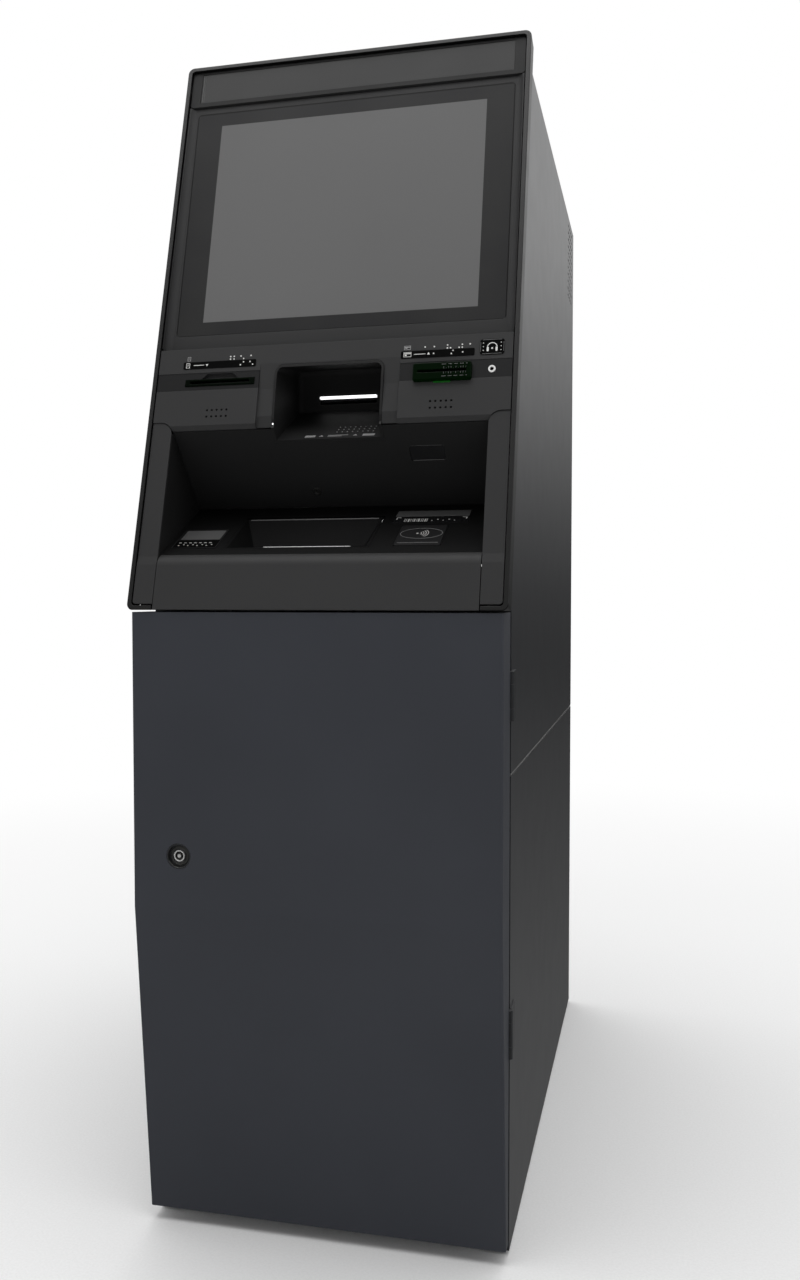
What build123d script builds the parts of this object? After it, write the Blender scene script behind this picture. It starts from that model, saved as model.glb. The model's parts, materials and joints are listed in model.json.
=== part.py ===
from build123d import *
from math import cos, radians, sin
import os

# A free-standing cash machine. Millimetres, +Z up, +Y towards the back.
# While it is built, the door's upper front face lies on y = 0 and the floor on z = 0.
# Each part is moved once, when it is written, so that the origin is the centre of the footprint.

# ---- driving dimensions -------------------------------------------------
HALF_W = 240.0            # cabinet half width
SHEET = 2.0               # cabinet sheet thickness
FRONT_Y = 70.0            # cabinet front edge behind the door
BACK_Y = 988.0            # cabinet back plane
TOP_Z = 1565.0            # top of the cabinet cover
SEAM_Z = 615.0            # seam between lower and upper side covers
SEAM_GAP = 4.0
FOOT_H = 6.0              # levelling pad height

FASCIA_HALF_W = 246.0     # fascia frame half width
FASCIA_Y = -3.2           # front bottom corner of the fascia
FASCIA_Z = 821.3
FASCIA_LEN = 802.3        # measured up the slope
FASCIA_TILT = 15.15       # degrees back from upright
FRAME_BAND = 6.0          # width of the frame's front band
FRAME_DEPTH = 25.0
INSET_HALF_W = 238.6      # half width of what sits inside the frame

DOOR_TOP = 818.7
DOOR_CREASE = 437.0       # height where the door starts to slant back
DOOR_FOOT = 20.0
DOOR_FOOT_Y = 42.0        # how far back the foot of the slant lies
DOOR_DEPTH = 60.0
HINGE_X = 240.0           # door hinge axis
HINGE_Y = 65.0
HINGE_Z = (288.0, 714.5)
HINGE_H = 62.0
KNUCKLE_R = 4.5
PIN_R = 2.0
RUNNING = 0.05            # radial running clearance

LOCK_X = -177.7           # door lock axis
LOCK_Z = 506.0

CONSOLE_S = (246.0, 361.0)
SCREEN_FOOT = 365.5       # where the recessed screen panel starts, up the fascia
SCREEN_D = 15.0           # how far the panel lies behind the frame's front at its foot
SCREEN_LEAN = 1.16        # degrees that the panel leans forward of the fascia
SCREEN_LEN = 372.6
GLASS_HALF_W = 226.0      # touch glass
GLASS_U = (22.3, 363.1)   # up the screen panel
GLASS_T = 3.0
TOPPER_D = 4.0            # how far the topper lies behind the frame's front
TOPPER_S = (739.0, 795.0)
LENS_HALF_W = 224.2
LENS_S = (746.0, 791.6)
BLOCK_X = 94.7            # inner edge of the raised console blocks
BAND_S = (301.0, 326.0)   # trim strips across the blocks
CHEEK_X = 211.5           # inner face of the cheeks
CHEEK_GAP = 1.0           # shadow gap between the lip and each cheek
CHEEK_S = (8.6, 256.3)
CHEEK_T = 4.0
CHEEK_CREASE = (60.0, 72.0)   # the cheeks step back a little above the lip
RECESS_HALF_W = 70.6      # note recess
RECESS_TOP_S = 329.0
RECESS_BACK_Y = 174.0
RECESS_FOOT_T = 23.0      # where the recess floor meets the pocket wall
SLIT_Z = (1103.0, 1108.0)   # note slit in the recess's back
LIGHT_HALF_W = 40.5       # lit bar over the slit
LIGHT_Z = (1110.4, 1114.0)
LIP_S = 67.4              # where lip and shelf would meet if the edge were sharp
SHELF_SLOPE = 27.7        # degrees
SHELF_LEN = 160.0
WALL_TOP = (63.7, 1060.3)   # pocket wall, (y, z) at its top and at the shelf
WALL_FOOT = (156.0, 960.7)
PLATE = 4.0               # moulding thickness in the pocket

TRAY_X = (-127.0, 60.6)   # cash tray, across
TRAY_T = (31.5, 122.0)    # cash tray, up the shelf
TRAY_FOLD = (96.0, 904.0)   # (y, z) where the tray's floor meets the shutter
TRAY_TAPER = 18.0         # how far each side wall leans in at the fold
SHUTTER_TRAVEL = 38.0

TOP_HINGE_Y = 236.0       # fascia hinge axis
TOP_HINGE_Z = 1572.0
TOP_HINGE_X = 150.0

FASCIA_LOCK_X = -34.0
FASCIA_LOCK_T = 108.5     # down the pocket wall
FAN_Z = 1440.0
FAN_R = 54.0
GROMMET_X = -150.0
GROMMET_Z = 90.0
GROMMET_R = 20.0
ANCHOR_X = 170.0
ANCHOR_Y = (179.0, 879.0)
ANCHOR_R = 7.0

SAFE_X = 222.0
SAFE_Z = (50.0, 780.0)
SAFE_Y = (96.0, 930.0)
SAFE_WALL = 8.0
CHUTE_X = (-113.0, 47.0)    # note path, centred on the tray
CHUTE_Y = (608.0, 652.0)

CASSETTES = 4
CASSETTE_Z = 96.0         # underside of the lowest cassette
CASSETTE_H = 112.0
CASSETTE_PITCH = 130.0
SAFE_DOOR_T = 12.0
HANDLE_X = -110.0
DIAL_X = 110.0
SAFE_KNOB_Z = 500.0
DECK_TOP = 791.0

REAR_X = 217.4
REAR_Y = (984.0, 986.0)

CARD_X = (112.7, 187.7)
CARD_S = (298.6, 322.3)
SLIP_X = (-198.5, -101.3)
SLIP_S = (307.0, 316.5)
JACK_X = 213.0
JACK_S = 312.4
JACK_R = 1.8
DOT_PITCH = 6.8
DOT_R = 1.55

READER_X = (94.6, 155.0)
READER_T = (33.0, 92.0)
PAD_X = (-204.0, -142.0)
PAD_T = (31.0, 88.5)
SCAN_X = (78.0, 179.0)
SCAN_T = (100.5, 143.0)
SHUTTER_T = 3.0

ROLL_X = -165.0
ROLL_S = 300.0
ROLL_D = 184.0

CENTRE_Y = (FASCIA_Y + BACK_Y) / 2

# ---- frames of reference ------------------------------------------------
TILT_SIN = sin(radians(FASCIA_TILT))
TILT_COS = cos(radians(FASCIA_TILT))
FASCIA = Plane(origin=(0, FASCIA_Y, FASCIA_Z), x_dir=(1, 0, 0), z_dir=(0, -TILT_COS, TILT_SIN)).location

SCREEN = FASCIA * Pos(0, SCREEN_FOOT, -SCREEN_D) * Rot(SCREEN_LEAN, 0, 0)

SHELF_SIN = sin(radians(SHELF_SLOPE))
SHELF_COS = cos(radians(SHELF_SLOPE))
LIP_Y = FASCIA_Y + LIP_S * TILT_SIN
LIP_Z = FASCIA_Z + LIP_S * TILT_COS
SHELF = Plane(origin=(0, LIP_Y, LIP_Z), x_dir=(1, 0, 0), z_dir=(0, -SHELF_SIN, SHELF_COS)).location

WALL_DIR = (Vector(*WALL_FOOT) - Vector(*WALL_TOP)).normalized()
WALL_LEN = (Vector(*WALL_FOOT) - Vector(*WALL_TOP)).length
WALL = Plane(origin=(0, *WALL_TOP), x_dir=(1, 0, 0), z_dir=(0, WALL_DIR.Y, -WALL_DIR.X)).location

TRAY_LIP = (LIP_Y + TRAY_T[1] * SHELF_COS, LIP_Z + TRAY_T[1] * SHELF_SIN)
SHUTTER_DIR = (Vector(*TRAY_LIP) - Vector(*TRAY_FOLD)).normalized()
SHUTTER_LEN = (Vector(*TRAY_LIP) - Vector(*TRAY_FOLD)).length
SHUTTER = Plane(origin=(0, *TRAY_FOLD), x_dir=(1, 0, 0), z_dir=(0, -SHUTTER_DIR.Y, SHUTTER_DIR.X)).location


# ---- helpers ------------------------------------------------------------
def span(x0, x1, y0, y1, z0, z1):
    """A box between two corners."""
    return Pos((x0 + x1) / 2, (y0 + y1) / 2, (z0 + z1) / 2) * Box(x1 - x0, y1 - y0, z1 - z0)


def sunk(frame, x0, x1, s0, s1, d0, d1):
    """A box on a sloping face: across, up the slope, and how deep below the face."""
    return frame * span(x0, x1, s0, s1, -d1, -d0)


def sunk_rounded(frame, x0, x1, s0, s1, d0, d1, radius):
    """The same, with rounded corners."""
    face = RectangleRounded(x1 - x0, s1 - s0, radius)
    return frame * Pos((x0 + x1) / 2, (s0 + s1) / 2, -d1) * extrude(face, amount=d1 - d0)


def sunk_disc(frame, x, s, radius, d0, d1):
    """A round bar square to a sloping face."""
    return frame * Pos(x, s, -(d0 + d1) / 2) * Cylinder(radius, d1 - d0)


def profile(points, x0, x1):
    """A solid with a (y, z) outline, from x0 to x1."""
    face = Plane.YZ.offset(x0) * make_face(Polyline(*points, close=True))
    return extrude(face, amount=x1 - x0, dir=(1, 0, 0))


def on_fascia(s, depth):
    """(y, z) of a point up the fascia and below its face."""
    return (FASCIA_Y + s * TILT_SIN + depth * TILT_COS, FASCIA_Z + s * TILT_COS - depth * TILT_SIN)


def on_shelf(t, depth):
    """(y, z) of a point up the shelf and below its face."""
    return (LIP_Y + t * SHELF_COS + depth * SHELF_SIN, LIP_Z + t * SHELF_SIN - depth * SHELF_COS)


def on_wall(t, depth):
    """(y, z) of a point down the pocket wall and behind its face."""
    y = WALL_TOP[0] + t * WALL_DIR.X - depth * WALL_DIR.Y
    return (y, WALL_TOP[1] + t * WALL_DIR.Y + depth * WALL_DIR.X)


def bar(axis, x, y, z, radius, length):
    """A round bar centred on a point, along 'X', 'Y' or 'Z'."""
    turn = {"X": Rot(0, 90, 0), "Y": Rot(90, 0, 0), "Z": Rot(0, 0, 0)}[axis]
    return Pos(x, y, z) * turn * Cylinder(radius, length)


def both_sides(make):
    """The part for the left and for the right, mirrored in x."""
    right = make()
    return mirror(right, about=Plane.YZ), right


def above_door(shape):
    """Trim the fascia's foot level, just over the door."""
    return shape - span(-300, 300, -60, 300, 700, FASCIA_Z)


# ---- cabinet ------------------------------------------------------------
def base_frame():
    """A floor pan with an upstand and anchor holes; the machine stands on feet below it."""
    top = 46.0
    pan = span(-232, 232, 74, 984, FOOT_H, top) - span(-229, 229, 77, 981, FOOT_H + 4, top)
    for x in (-ANCHOR_X, ANCHOR_X):
        for y in ANCHOR_Y:
            pan -= bar("Z", x, y, FOOT_H + 2, ANCHOR_R, 8)
    for x, y in foot_places():
        pan -= bar("Z", x, y, FOOT_H + 2, 6.3, 8)
    return pan


def foot_places():
    return [(x, y) for x in (-205, 205) for y in (104, 954)]


def levelling_feet():
    feet = []
    for x, y in foot_places():
        pad = bar("Z", x, y, FOOT_H / 2, 22, FOOT_H)
        stud = bar("Z", x, y, 22, 6, 36)
        nut = Pos(x, y, FOOT_H + 4) * extrude(RegularPolygon(10, 6), amount=8)
        feet.append(pad + stud + nut)
    return feet


def safe_body():
    body = span(-SAFE_X, SAFE_X, *SAFE_Y, *SAFE_Z)
    body -= span(-SAFE_X + SAFE_WALL, SAFE_X - SAFE_WALL, SAFE_Y[0], SAFE_Y[1] - SAFE_WALL,
                 SAFE_Z[0] + SAFE_WALL, SAFE_Z[1] - SAFE_WALL)
    body -= span(CHUTE_X[0] - 4, CHUTE_X[1] + 4, *CHUTE_Y, SAFE_Z[1] - 12, SAFE_Z[1] + 2)
    for x in (-ANCHOR_X, ANCHOR_X):
        for y in ANCHOR_Y:
            body -= bar("Z", x, y, SAFE_Z[0] + 4, ANCHOR_R + 1, 12)
    return body


def safe_door():
    """The door plate with two side hinges and bosses for the handle and the dial."""
    front = SAFE_Y[0] - SAFE_DOOR_T
    door = span(-SAFE_X, SAFE_X, front, SAFE_Y[0], *SAFE_Z)
    door = chamfer(door.faces().sort_by(Axis.Y)[0].edges(), 3)
    for x in (HANDLE_X, DIAL_X):
        door += bar("Y", x, front - 2, SAFE_KNOB_Z, 30, 5)
        door -= bar("Y", x, front, SAFE_KNOB_Z, 6 + RUNNING, 40)
    for z in (180, 650):
        door += bar("Z", SAFE_X + 6.5, front + 5, z, 6.5, 80)
        door += span(SAFE_X - 8, SAFE_X + 6, front + 4, front + 9, z - 36, z + 36)
    return door


def safe_handle():
    """A hub with a lever to the right, turned to draw the bolts."""
    face = SAFE_Y[0] - SAFE_DOOR_T - 5
    shaft = bar("Y", HANDLE_X, face + 3, SAFE_KNOB_Z, 6, 20)
    hub = bar("Y", HANDLE_X, face - 9, SAFE_KNOB_Z, 24, 16)
    lever = span(HANDLE_X, HANDLE_X + 96, face - 20, face - 8, SAFE_KNOB_Z - 9, SAFE_KNOB_Z + 9)
    end = bar("Y", HANDLE_X + 96, face - 14, SAFE_KNOB_Z, 9, 12)
    return hub + fillet(lever.edges().filter_by(Axis.X), 3) + end + shaft


def safe_dial():
    """A knurled combination dial on a flat ring."""
    face = SAFE_Y[0] - SAFE_DOOR_T - 5
    dial = bar("Y", DIAL_X, face - 3, SAFE_KNOB_Z, 36, 5) + bar("Y", DIAL_X, face - 12, SAFE_KNOB_Z, 20, 20)
    dial += bar("Y", DIAL_X, face + 3, SAFE_KNOB_Z, 6, 20)
    for step in range(18):
        turn = Pos(DIAL_X, face - 15, SAFE_KNOB_Z) * Rot(0, step * 20, 0)
        dial -= turn * Pos(20.8, 0, 0) * Rot(90, 0, 0) * Cylinder(1.8, 18)
    dial -= span(DIAL_X - 0.6, DIAL_X + 0.6, face - 6.5, face - 4.5, SAFE_KNOB_Z + 26, SAFE_KNOB_Z + 36)
    return dial


def cash_cassettes():
    cassettes = []
    for row in range(CASSETTES):
        z = CASSETTE_Z + row * CASSETTE_PITCH
        box = span(-110, 110, 160, 560, z, z + CASSETTE_H)
        box = fillet(box.edges().filter_by(Axis.Y), 6)
        box -= span(-60, 60, 158, 190, z + 40, z + 84)
        grip = bar("X", 0, 168, z + 62, 6, 124)
        cassettes.append(box + grip)
    return cassettes


def dispenser_frame():
    """Two side plates with runners for the cassettes, joined by shafts at the back."""
    frame = []
    for side in (-1, 1):
        x = sorted((side * 114, side * 117))
        plate = span(*x, 150, 700, 70, 640)
        for row in range(CASSETTES):
            z = CASSETTE_Z - 4 + row * CASSETTE_PITCH
            rail = sorted((side * 104, side * 115))
            plate += span(*rail, 165, 555, z, z + 3)
        frame.append(plate)
    tie = frame[0] + frame[1]
    for row in range(5):
        for y in (600, 680):
            tie += bar("X", 0, y, 100 + row * 125, 6, 232)
    return tie


def note_transport():
    """The belt channel from the dispenser, up through the deck and forward to the tray."""
    tower = span(*CHUTE_X, CHUTE_Y[0] + 4, CHUTE_Y[1] - 4, 656, 930)
    run = span(*CHUTE_X, 134, CHUTE_Y[1] - 4, 892, 930)
    nose = span(CHUTE_X[0] - 1, CHUTE_X[1] + 1, 130, 170, 922, 960)
    channel = tower + run - nose
    channel -= span(CHUTE_X[0] + 6, CHUTE_X[1] - 6, 120, 180, 904, 912)
    for x in (CHUTE_X[0] + 4, CHUTE_X[1] - 14):
        for y in (220, 480):
            channel += span(x, x + 10, y, y + 20, DECK_TOP, 893)
    return channel


def note_validator():
    """The note reader behind the recess, with its stand."""
    case = span(-58, 58, 178.5, 330, 1060, 1150)
    case = chamfer(case.edges().filter_by(Axis.X), 4)
    case -= span(-41, 41, 170, 260, *SLIT_Z)
    return case + span(-50, 50, 205, 320, 1012, 1062)


def deck_plate():
    """The plate over the safe that carries the upper half."""
    deck = span(-236, 236, 92, 984, DECK_TOP - 3, DECK_TOP)
    deck -= span(CHUTE_X[0] - 4, CHUTE_X[1] + 4, *CHUTE_Y, 780, 800)
    for side in (-1, 1):
        x = sorted((side * 234, side * 236))
        deck += span(*x, 92, 984, 760, 790)
    return deck


def lower_side():
    """Right lower side cover, returned inwards at the front and the back."""
    top = SEAM_Z - SEAM_GAP / 2
    panel = span(HALF_W - SHEET, HALF_W, FRONT_Y, BACK_Y, FOOT_H, top)
    panel += span(HALF_W - 22, HALF_W, FRONT_Y, FRONT_Y + SHEET, FOOT_H, top)
    panel += span(HALF_W - 22, HALF_W, BACK_Y - SHEET, BACK_Y, FOOT_H, top)
    return panel


def upper_side():
    """Right upper side cover; its front edge follows the fascia's back."""
    low = SEAM_Z + SEAM_GAP / 2
    top = TOP_Z - SHEET
    sill = DOOR_TOP + 2.6
    back_edge = FRAME_DEPTH + 1
    front = [on_fascia(s, back_edge) for s in (0, FASCIA_LEN)]
    slope = (front[1][0] - front[0][0]) / (front[1][1] - front[0][1])

    def front_y(z):
        return front[0][0] + (z - front[0][1]) * slope

    outline = [(FRONT_Y, low), (FRONT_Y, sill), (front_y(sill), sill), (front_y(top), top),
               (BACK_Y, top), (BACK_Y, low)]
    panel = profile(outline, HALF_W - SHEET, HALF_W)
    panel += span(HALF_W - 22, HALF_W, FRONT_Y, FRONT_Y + SHEET, low, sill)
    panel += span(HALF_W - 22, HALF_W, BACK_Y - SHEET, BACK_Y, low, top)
    slot = extrude(SlotOverall(14, 4), amount=12)
    for column in range(4):
        for row in range(11):
            panel -= Plane.YZ.offset(HALF_W - 6) * Pos(872 + column * 22, 1418 + row * 13) * slot
    return panel


def top_cover():
    """The flat lid between the side covers, behind the fascia."""
    cover = span(-HALF_W, HALF_W, 232, BACK_Y, TOP_Z - SHEET, TOP_Z)
    cover += span(-217, 217, BACK_Y - SHEET, BACK_Y, TOP_Z - 20, TOP_Z - SHEET)
    return cover


def lower_rear_panel():
    panel = span(-REAR_X, REAR_X, *REAR_Y, 10, SEAM_Z - SEAM_GAP / 2)
    panel -= bar("Y", GROMMET_X, REAR_Y[0], GROMMET_Z, GROMMET_R + 6, 20)
    return panel


def upper_rear_panel():
    """The upper back panel with the fan's grille and a row of louvres."""
    panel = span(-REAR_X, REAR_X, *REAR_Y, SEAM_Z + SEAM_GAP / 2, TOP_Z - 22)
    hole = Rot(90, 0, 0) * Cylinder(4, 10)
    for ring, count in ((14, 6), (28, 12), (42, 18)):
        for step in range(count):
            panel -= Pos(0, REAR_Y[0], FAN_Z) * Rot(0, step * 360 / count, 0) * Pos(ring, 0, 0) * hole
    for column in (-1, 1):
        for row in range(8):
            z = 900 + row * 24
            x = column * 100
            panel -= span(x - 60, x + 60, REAR_Y[0] - 1, REAR_Y[1] + 1, z, z + 5)
    return panel


def screw_places():
    lower = [(x, z) for x in (-205, 205) for z in (40, 320, 590)]
    upper = [(x, z) for x in (-205, 205) for z in (650, 1090, 1520)]
    return lower + upper


def rear_screws():
    screws = []
    for x, z in screw_places():
        head = bar("Y", x, REAR_Y[1] + 0.9, z, 5, 1.8)
        socket = Pos(x, BACK_Y - 1, z) * Rot(90, 0, 0) * extrude(RegularPolygon(2, 6), amount=3, both=True)
        screws.append(head - socket)
    return screws


def upper_frame():
    """Uprights, the beam that carries the fascia hinges, and two welded equipment shelves."""
    frame = span(-236, 236, 242, 272, 1536, 1560)
    frame -= span(-234, 234, 244, 274, 1534, 1558)
    for side in (-1, 1):
        post = sorted((side * 216, side * 236))
        frame += span(*post, 262, 282, DECK_TOP, 1560)
        frame += span(*post, 940, 960, DECK_TOP, 1562)
        rail = sorted((side * 232, side * 236))
        for z in (1000, 1140, 1540):
            frame += span(*rail, 275, 945, z, z + 20)
    frame += span(-218, 218, 264, 430, 1010, 1012)
    frame += span(-200, 200, 196, 266, 1010, 1012)
    frame += span(-234, 234, 420, 945, 1150, 1153)
    return frame


def computer_unit():
    case = span(-190, 90, 560, 880, 1153, 1268)
    case = fillet(case.edges().filter_by(Axis.Y), 4)
    case -= span(-187, 87, 563, 890, 1156, 1265)
    for step in range(14):
        x = -176 + step * 18
        case -= span(x, x + 8, 556, 564, 1180, 1240)
    supply = span(110, 210, 600, 860, 1153, 1236) - span(112, 208, 602, 870, 1155, 1234)
    return [case, supply]


def fan_housing():
    """A square fan frame with a round duct, motor seat and four arms at the back."""
    low = REAR_Y[0] - 26
    frame = span(-60, 60, low, REAR_Y[0], FAN_Z - 60, FAN_Z + 60)
    frame = fillet(frame.edges().filter_by(Axis.Y), 8)
    frame -= bar("Y", 0, low + 10, FAN_Z, FAN_R + 3, 60)
    seat = bar("Y", 0, REAR_Y[0] - 3, FAN_Z, 19, 6)
    for turn in range(4):
        arm = Pos(0, REAR_Y[0] - 2, FAN_Z) * Rot(0, 45 + turn * 90, 0) * Pos(38, 0, 0) * Box(44, 4, 5)
        seat += arm
    seat -= bar("Y", 0, REAR_Y[0] - 3, FAN_Z, 2.5 + RUNNING, 30)
    return frame + seat


def fan_rotor():
    """Hub and seven pitched blades on a short shaft."""
    mid = REAR_Y[0] - 16
    rotor = bar("Y", 0, mid, FAN_Z, 18, 18)
    blade = Box(36, 2, 22)
    for step in range(7):
        rotor += Pos(0, mid, FAN_Z) * Rot(0, step * 360 / 7, 0) * Pos(35, 0, 0) * Rot(32, 0, 0) * blade
    limit = bar("Y", 0, mid, FAN_Z, FAN_R, 18)
    return (rotor & limit) + bar("Y", 0, REAR_Y[0] - 6, FAN_Z, 2.5, 10)


def cable_grommet():
    """A rubber ring in the lower rear panel, where the supply cable enters."""
    ring = bar("Y", GROMMET_X, 984, GROMMET_Z, GROMMET_R + 6, 8)
    ring += bar("Y", GROMMET_X, 987, GROMMET_Z, GROMMET_R + 11, 2)
    ring += bar("Y", GROMMET_X, 982, GROMMET_Z, GROMMET_R + 11, 4)
    return ring - bar("Y", GROMMET_X, 984, GROMMET_Z, GROMMET_R, 20)


def lock_strikes():
    """The catch for the door lock's cam, and the catch for the fascia lock's cam."""
    catch = span(-236.4, -234, 38, FRONT_Y, LOCK_Z - 14, LOCK_Z + 14)
    catch += span(-236.4, -211, 38, 41, LOCK_Z - 14, LOCK_Z + 14)
    x0 = FASCIA_LOCK_X - 20
    x1 = FASCIA_LOCK_X + 20
    points = [on_wall(128, 24), on_wall(128, 27), on_wall(146, 27), (212, 965), (212, 1010), (215, 1010),
              (215, 962), on_wall(149.5, 24)]
    return [catch, profile(points, x0, x1)]


# ---- hinges -------------------------------------------------------------
def cabinet_hinge_leaves():
    """Fixed leaves of the two door hinges and of the two fascia hinges, with their pins."""
    leaves = []
    for z in HINGE_Z:
        leaf = span(HINGE_X, HINGE_X + 2, 70.2, 103, z - HINGE_H / 2, z + HINGE_H / 2)
        leaf += span(HINGE_X, HINGE_X + 2, HINGE_Y, 71, z - 15, z + 15)
        leaf += bar("Z", HINGE_X, HINGE_Y, z, KNUCKLE_R, 30)
        leaf += bar("Z", HINGE_X, HINGE_Y, z, PIN_R, HINGE_H)
        leaves.append(leaf)
    for x in (-TOP_HINGE_X, TOP_HINGE_X):
        leaf = span(x - 40, x + 40, 242, 264, TOP_Z, TOP_Z + 2)
        for side in (-1, 1):
            mid = x + side * 27
            leaf += bar("X", mid, TOP_HINGE_Y, TOP_HINGE_Z, 5, 26)
            leaf += span(mid - 13, mid + 13, TOP_HINGE_Y, TOP_HINGE_Y + 8, TOP_Z, TOP_HINGE_Z + 2)
        leaf += bar("X", x, TOP_HINGE_Y, TOP_HINGE_Z, 2.5, 80)
        leaves.append(leaf)
    return leaves


def door_hinge_leaves():
    """Moving leaves on the inside of the door's right flange."""
    leaves = []
    for z in HINGE_Z:
        leaf = span(HINGE_X - 4, HINGE_X - 2, 30, DOOR_DEPTH, z - HINGE_H / 2, z + HINGE_H / 2)
        for side in (-1, 1):
            low, high = sorted((z + side * 15.5, z + side * HINGE_H / 2))
            leaf += span(HINGE_X - 4, HINGE_X - 2, 50, HINGE_Y, low, high)
            leaf += span(HINGE_X - 4, HINGE_X, DOOR_DEPTH + 0.2, HINGE_Y, low, high)
            leaf += bar("Z", HINGE_X, HINGE_Y, (low + high) / 2, KNUCKLE_R, high - low)
        leaf -= bar("Z", HINGE_X, HINGE_Y, z, PIN_R + RUNNING, HINGE_H + 2)
        leaves.append(leaf)
    return leaves


# ---- front door ---------------------------------------------------------
def door_skin():
    """A folded sheet pan: upright above the crease, slanting back below it."""
    outline = [(0, DOOR_TOP), (0, DOOR_CREASE), (DOOR_FOOT_Y, DOOR_FOOT), (DOOR_DEPTH, DOOR_FOOT),
               (DOOR_DEPTH, DOOR_TOP)]
    pan = profile(outline, -HALF_W, HALF_W)
    corners = pan.edges().filter_by(lambda e: e.center().Y < 25 and abs(e.center().X) > HALF_W - 1)
    pan = fillet(corners, 2.5)
    slant = (DOOR_FOOT_Y / (DOOR_CREASE - DOOR_FOOT))
    foot = (DOOR_FOOT_Y + SHEET - slant * SHEET, DOOR_FOOT + SHEET)
    inner = [(SHEET, DOOR_TOP - SHEET), (SHEET, DOOR_CREASE), foot, (DOOR_DEPTH + 1, DOOR_FOOT + SHEET),
             (DOOR_DEPTH + 1, DOOR_TOP - SHEET)]
    pan -= profile(inner, -HALF_W + SHEET, HALF_W - SHEET)
    return pan - bar("Y", LOCK_X, 0, LOCK_Z, 16.6, 20)


def door_stiffener():
    """Two upright hat channels behind the skin's flat upper half."""
    ribs = []
    for x in (-90, 90):
        rib = span(x - 24, x + 24, SHEET, 16, 450, 800)
        rib -= span(x - 21, x + 21, SHEET - 1, 13, 449, 801)
        ribs.append(rib)
    return ribs


def door_lock_body():
    """A dished escutcheon in the skin with the lock's barrel behind it."""
    cup = bar("Y", LOCK_X, 5, LOCK_Z, 16.4, 9)
    cup -= bar("Y", LOCK_X, 2.5, LOCK_Z, 14.6, 8)
    flange = bar("Y", LOCK_X, SHEET + 1, LOCK_Z, 21, 2) - bar("Y", LOCK_X, 3, LOCK_Z, 16, 8)
    barrel = bar("Y", LOCK_X, 20, LOCK_Z, 12, 30)
    nut = Pos(LOCK_X, 16, LOCK_Z) * Rot(90, 0, 0) * extrude(RegularPolygon(16, 6), amount=6)
    return cup + flange + barrel + nut - bar("Y", LOCK_X, 20, LOCK_Z, 8.75 + RUNNING, 60)


def door_lock_cylinder():
    """The turning tubular core; its cam points down when the lock is open."""
    core = bar("Y", LOCK_X, 22.5, LOCK_Z, 8.75, 39)
    core -= bar("Y", LOCK_X, 3, LOCK_Z, 5.6, 12) - bar("Y", LOCK_X, 3, LOCK_Z, 3.2, 12)
    core -= span(LOCK_X - 1.2, LOCK_X + 1.2, 2, 7, LOCK_Z + 5, LOCK_Z + 7.6)
    cam = span(LOCK_X - 9, LOCK_X + 9, 42, 45, LOCK_Z - 46, LOCK_Z + 10)
    cam = fillet(cam.edges().filter_by(Axis.Y), 6)
    return core + cam + bar("Y", LOCK_X, 46.5, LOCK_Z, 5, 5)


# ---- fascia -------------------------------------------------------------
def fascia_frame():
    """The thin band around the whole front, open below the lip."""
    frame = sunk_rounded(FASCIA, -FASCIA_HALF_W, FASCIA_HALF_W, 0, FASCIA_LEN, 0, FRAME_DEPTH, 9)
    front = frame.faces().sort_by(Axis((0, 0, 0), (0, -TILT_COS, TILT_SIN)))[-1]
    frame = fillet(front.edges(), 1.5)
    half = FASCIA_HALF_W - FRAME_BAND
    frame -= sunk_rounded(FASCIA, -half, half, FRAME_BAND, FASCIA_LEN - FRAME_BAND, -1, FRAME_DEPTH + 1, 5)
    frame -= sunk(FASCIA, -CHEEK_X - 0.4, CHEEK_X + 0.4, -2, FRAME_BAND + 2, -2, FRAME_DEPTH + 2)
    return above_door(frame)


def fascia_chassis():
    """The sheet ring behind the mouldings, with the arms of the top hinges."""
    plate = sunk(FASCIA, -237, 237, 366, 788, 22, 24)
    plate -= sunk(FASCIA, -205, 205, 395, 722, 20, 26)
    for side in (-1, 1):
        strip = sorted((side * 217, side * 237))
        plate += sunk(FASCIA, *strip, 12, 368, 22, 24)
    arm = [on_fascia(742, 24), on_fascia(786, 24), (TOP_HINGE_Y, TOP_HINGE_Z + 3),
           (TOP_HINGE_Y, TOP_HINGE_Z - 3), on_fascia(776, 26), on_fascia(742, 26)]
    for x in (-TOP_HINGE_X, TOP_HINGE_X):
        plate += profile(arm, x - 13.2, x + 13.2)
        plate += bar("X", x, TOP_HINGE_Y, TOP_HINGE_Z, 5, 26.4)
        plate -= bar("X", x, TOP_HINGE_Y, TOP_HINGE_Z, 2.5 + RUNNING, 40)
    return plate


def topper_housing():
    block = sunk_rounded(FASCIA, -INSET_HALF_W, INSET_HALF_W, *TOPPER_S, TOPPER_D, 16, 4.5)
    block -= sunk(FASCIA, -LENS_HALF_W - 0.2, LENS_HALF_W + 0.2, LENS_S[0] - 0.2, LENS_S[1] + 0.2, 0, 12)
    return block


def topper_lens():
    return sunk(FASCIA, -LENS_HALF_W, LENS_HALF_W, *LENS_S, TOPPER_D + 0.8, TOPPER_D + 4)


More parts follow.
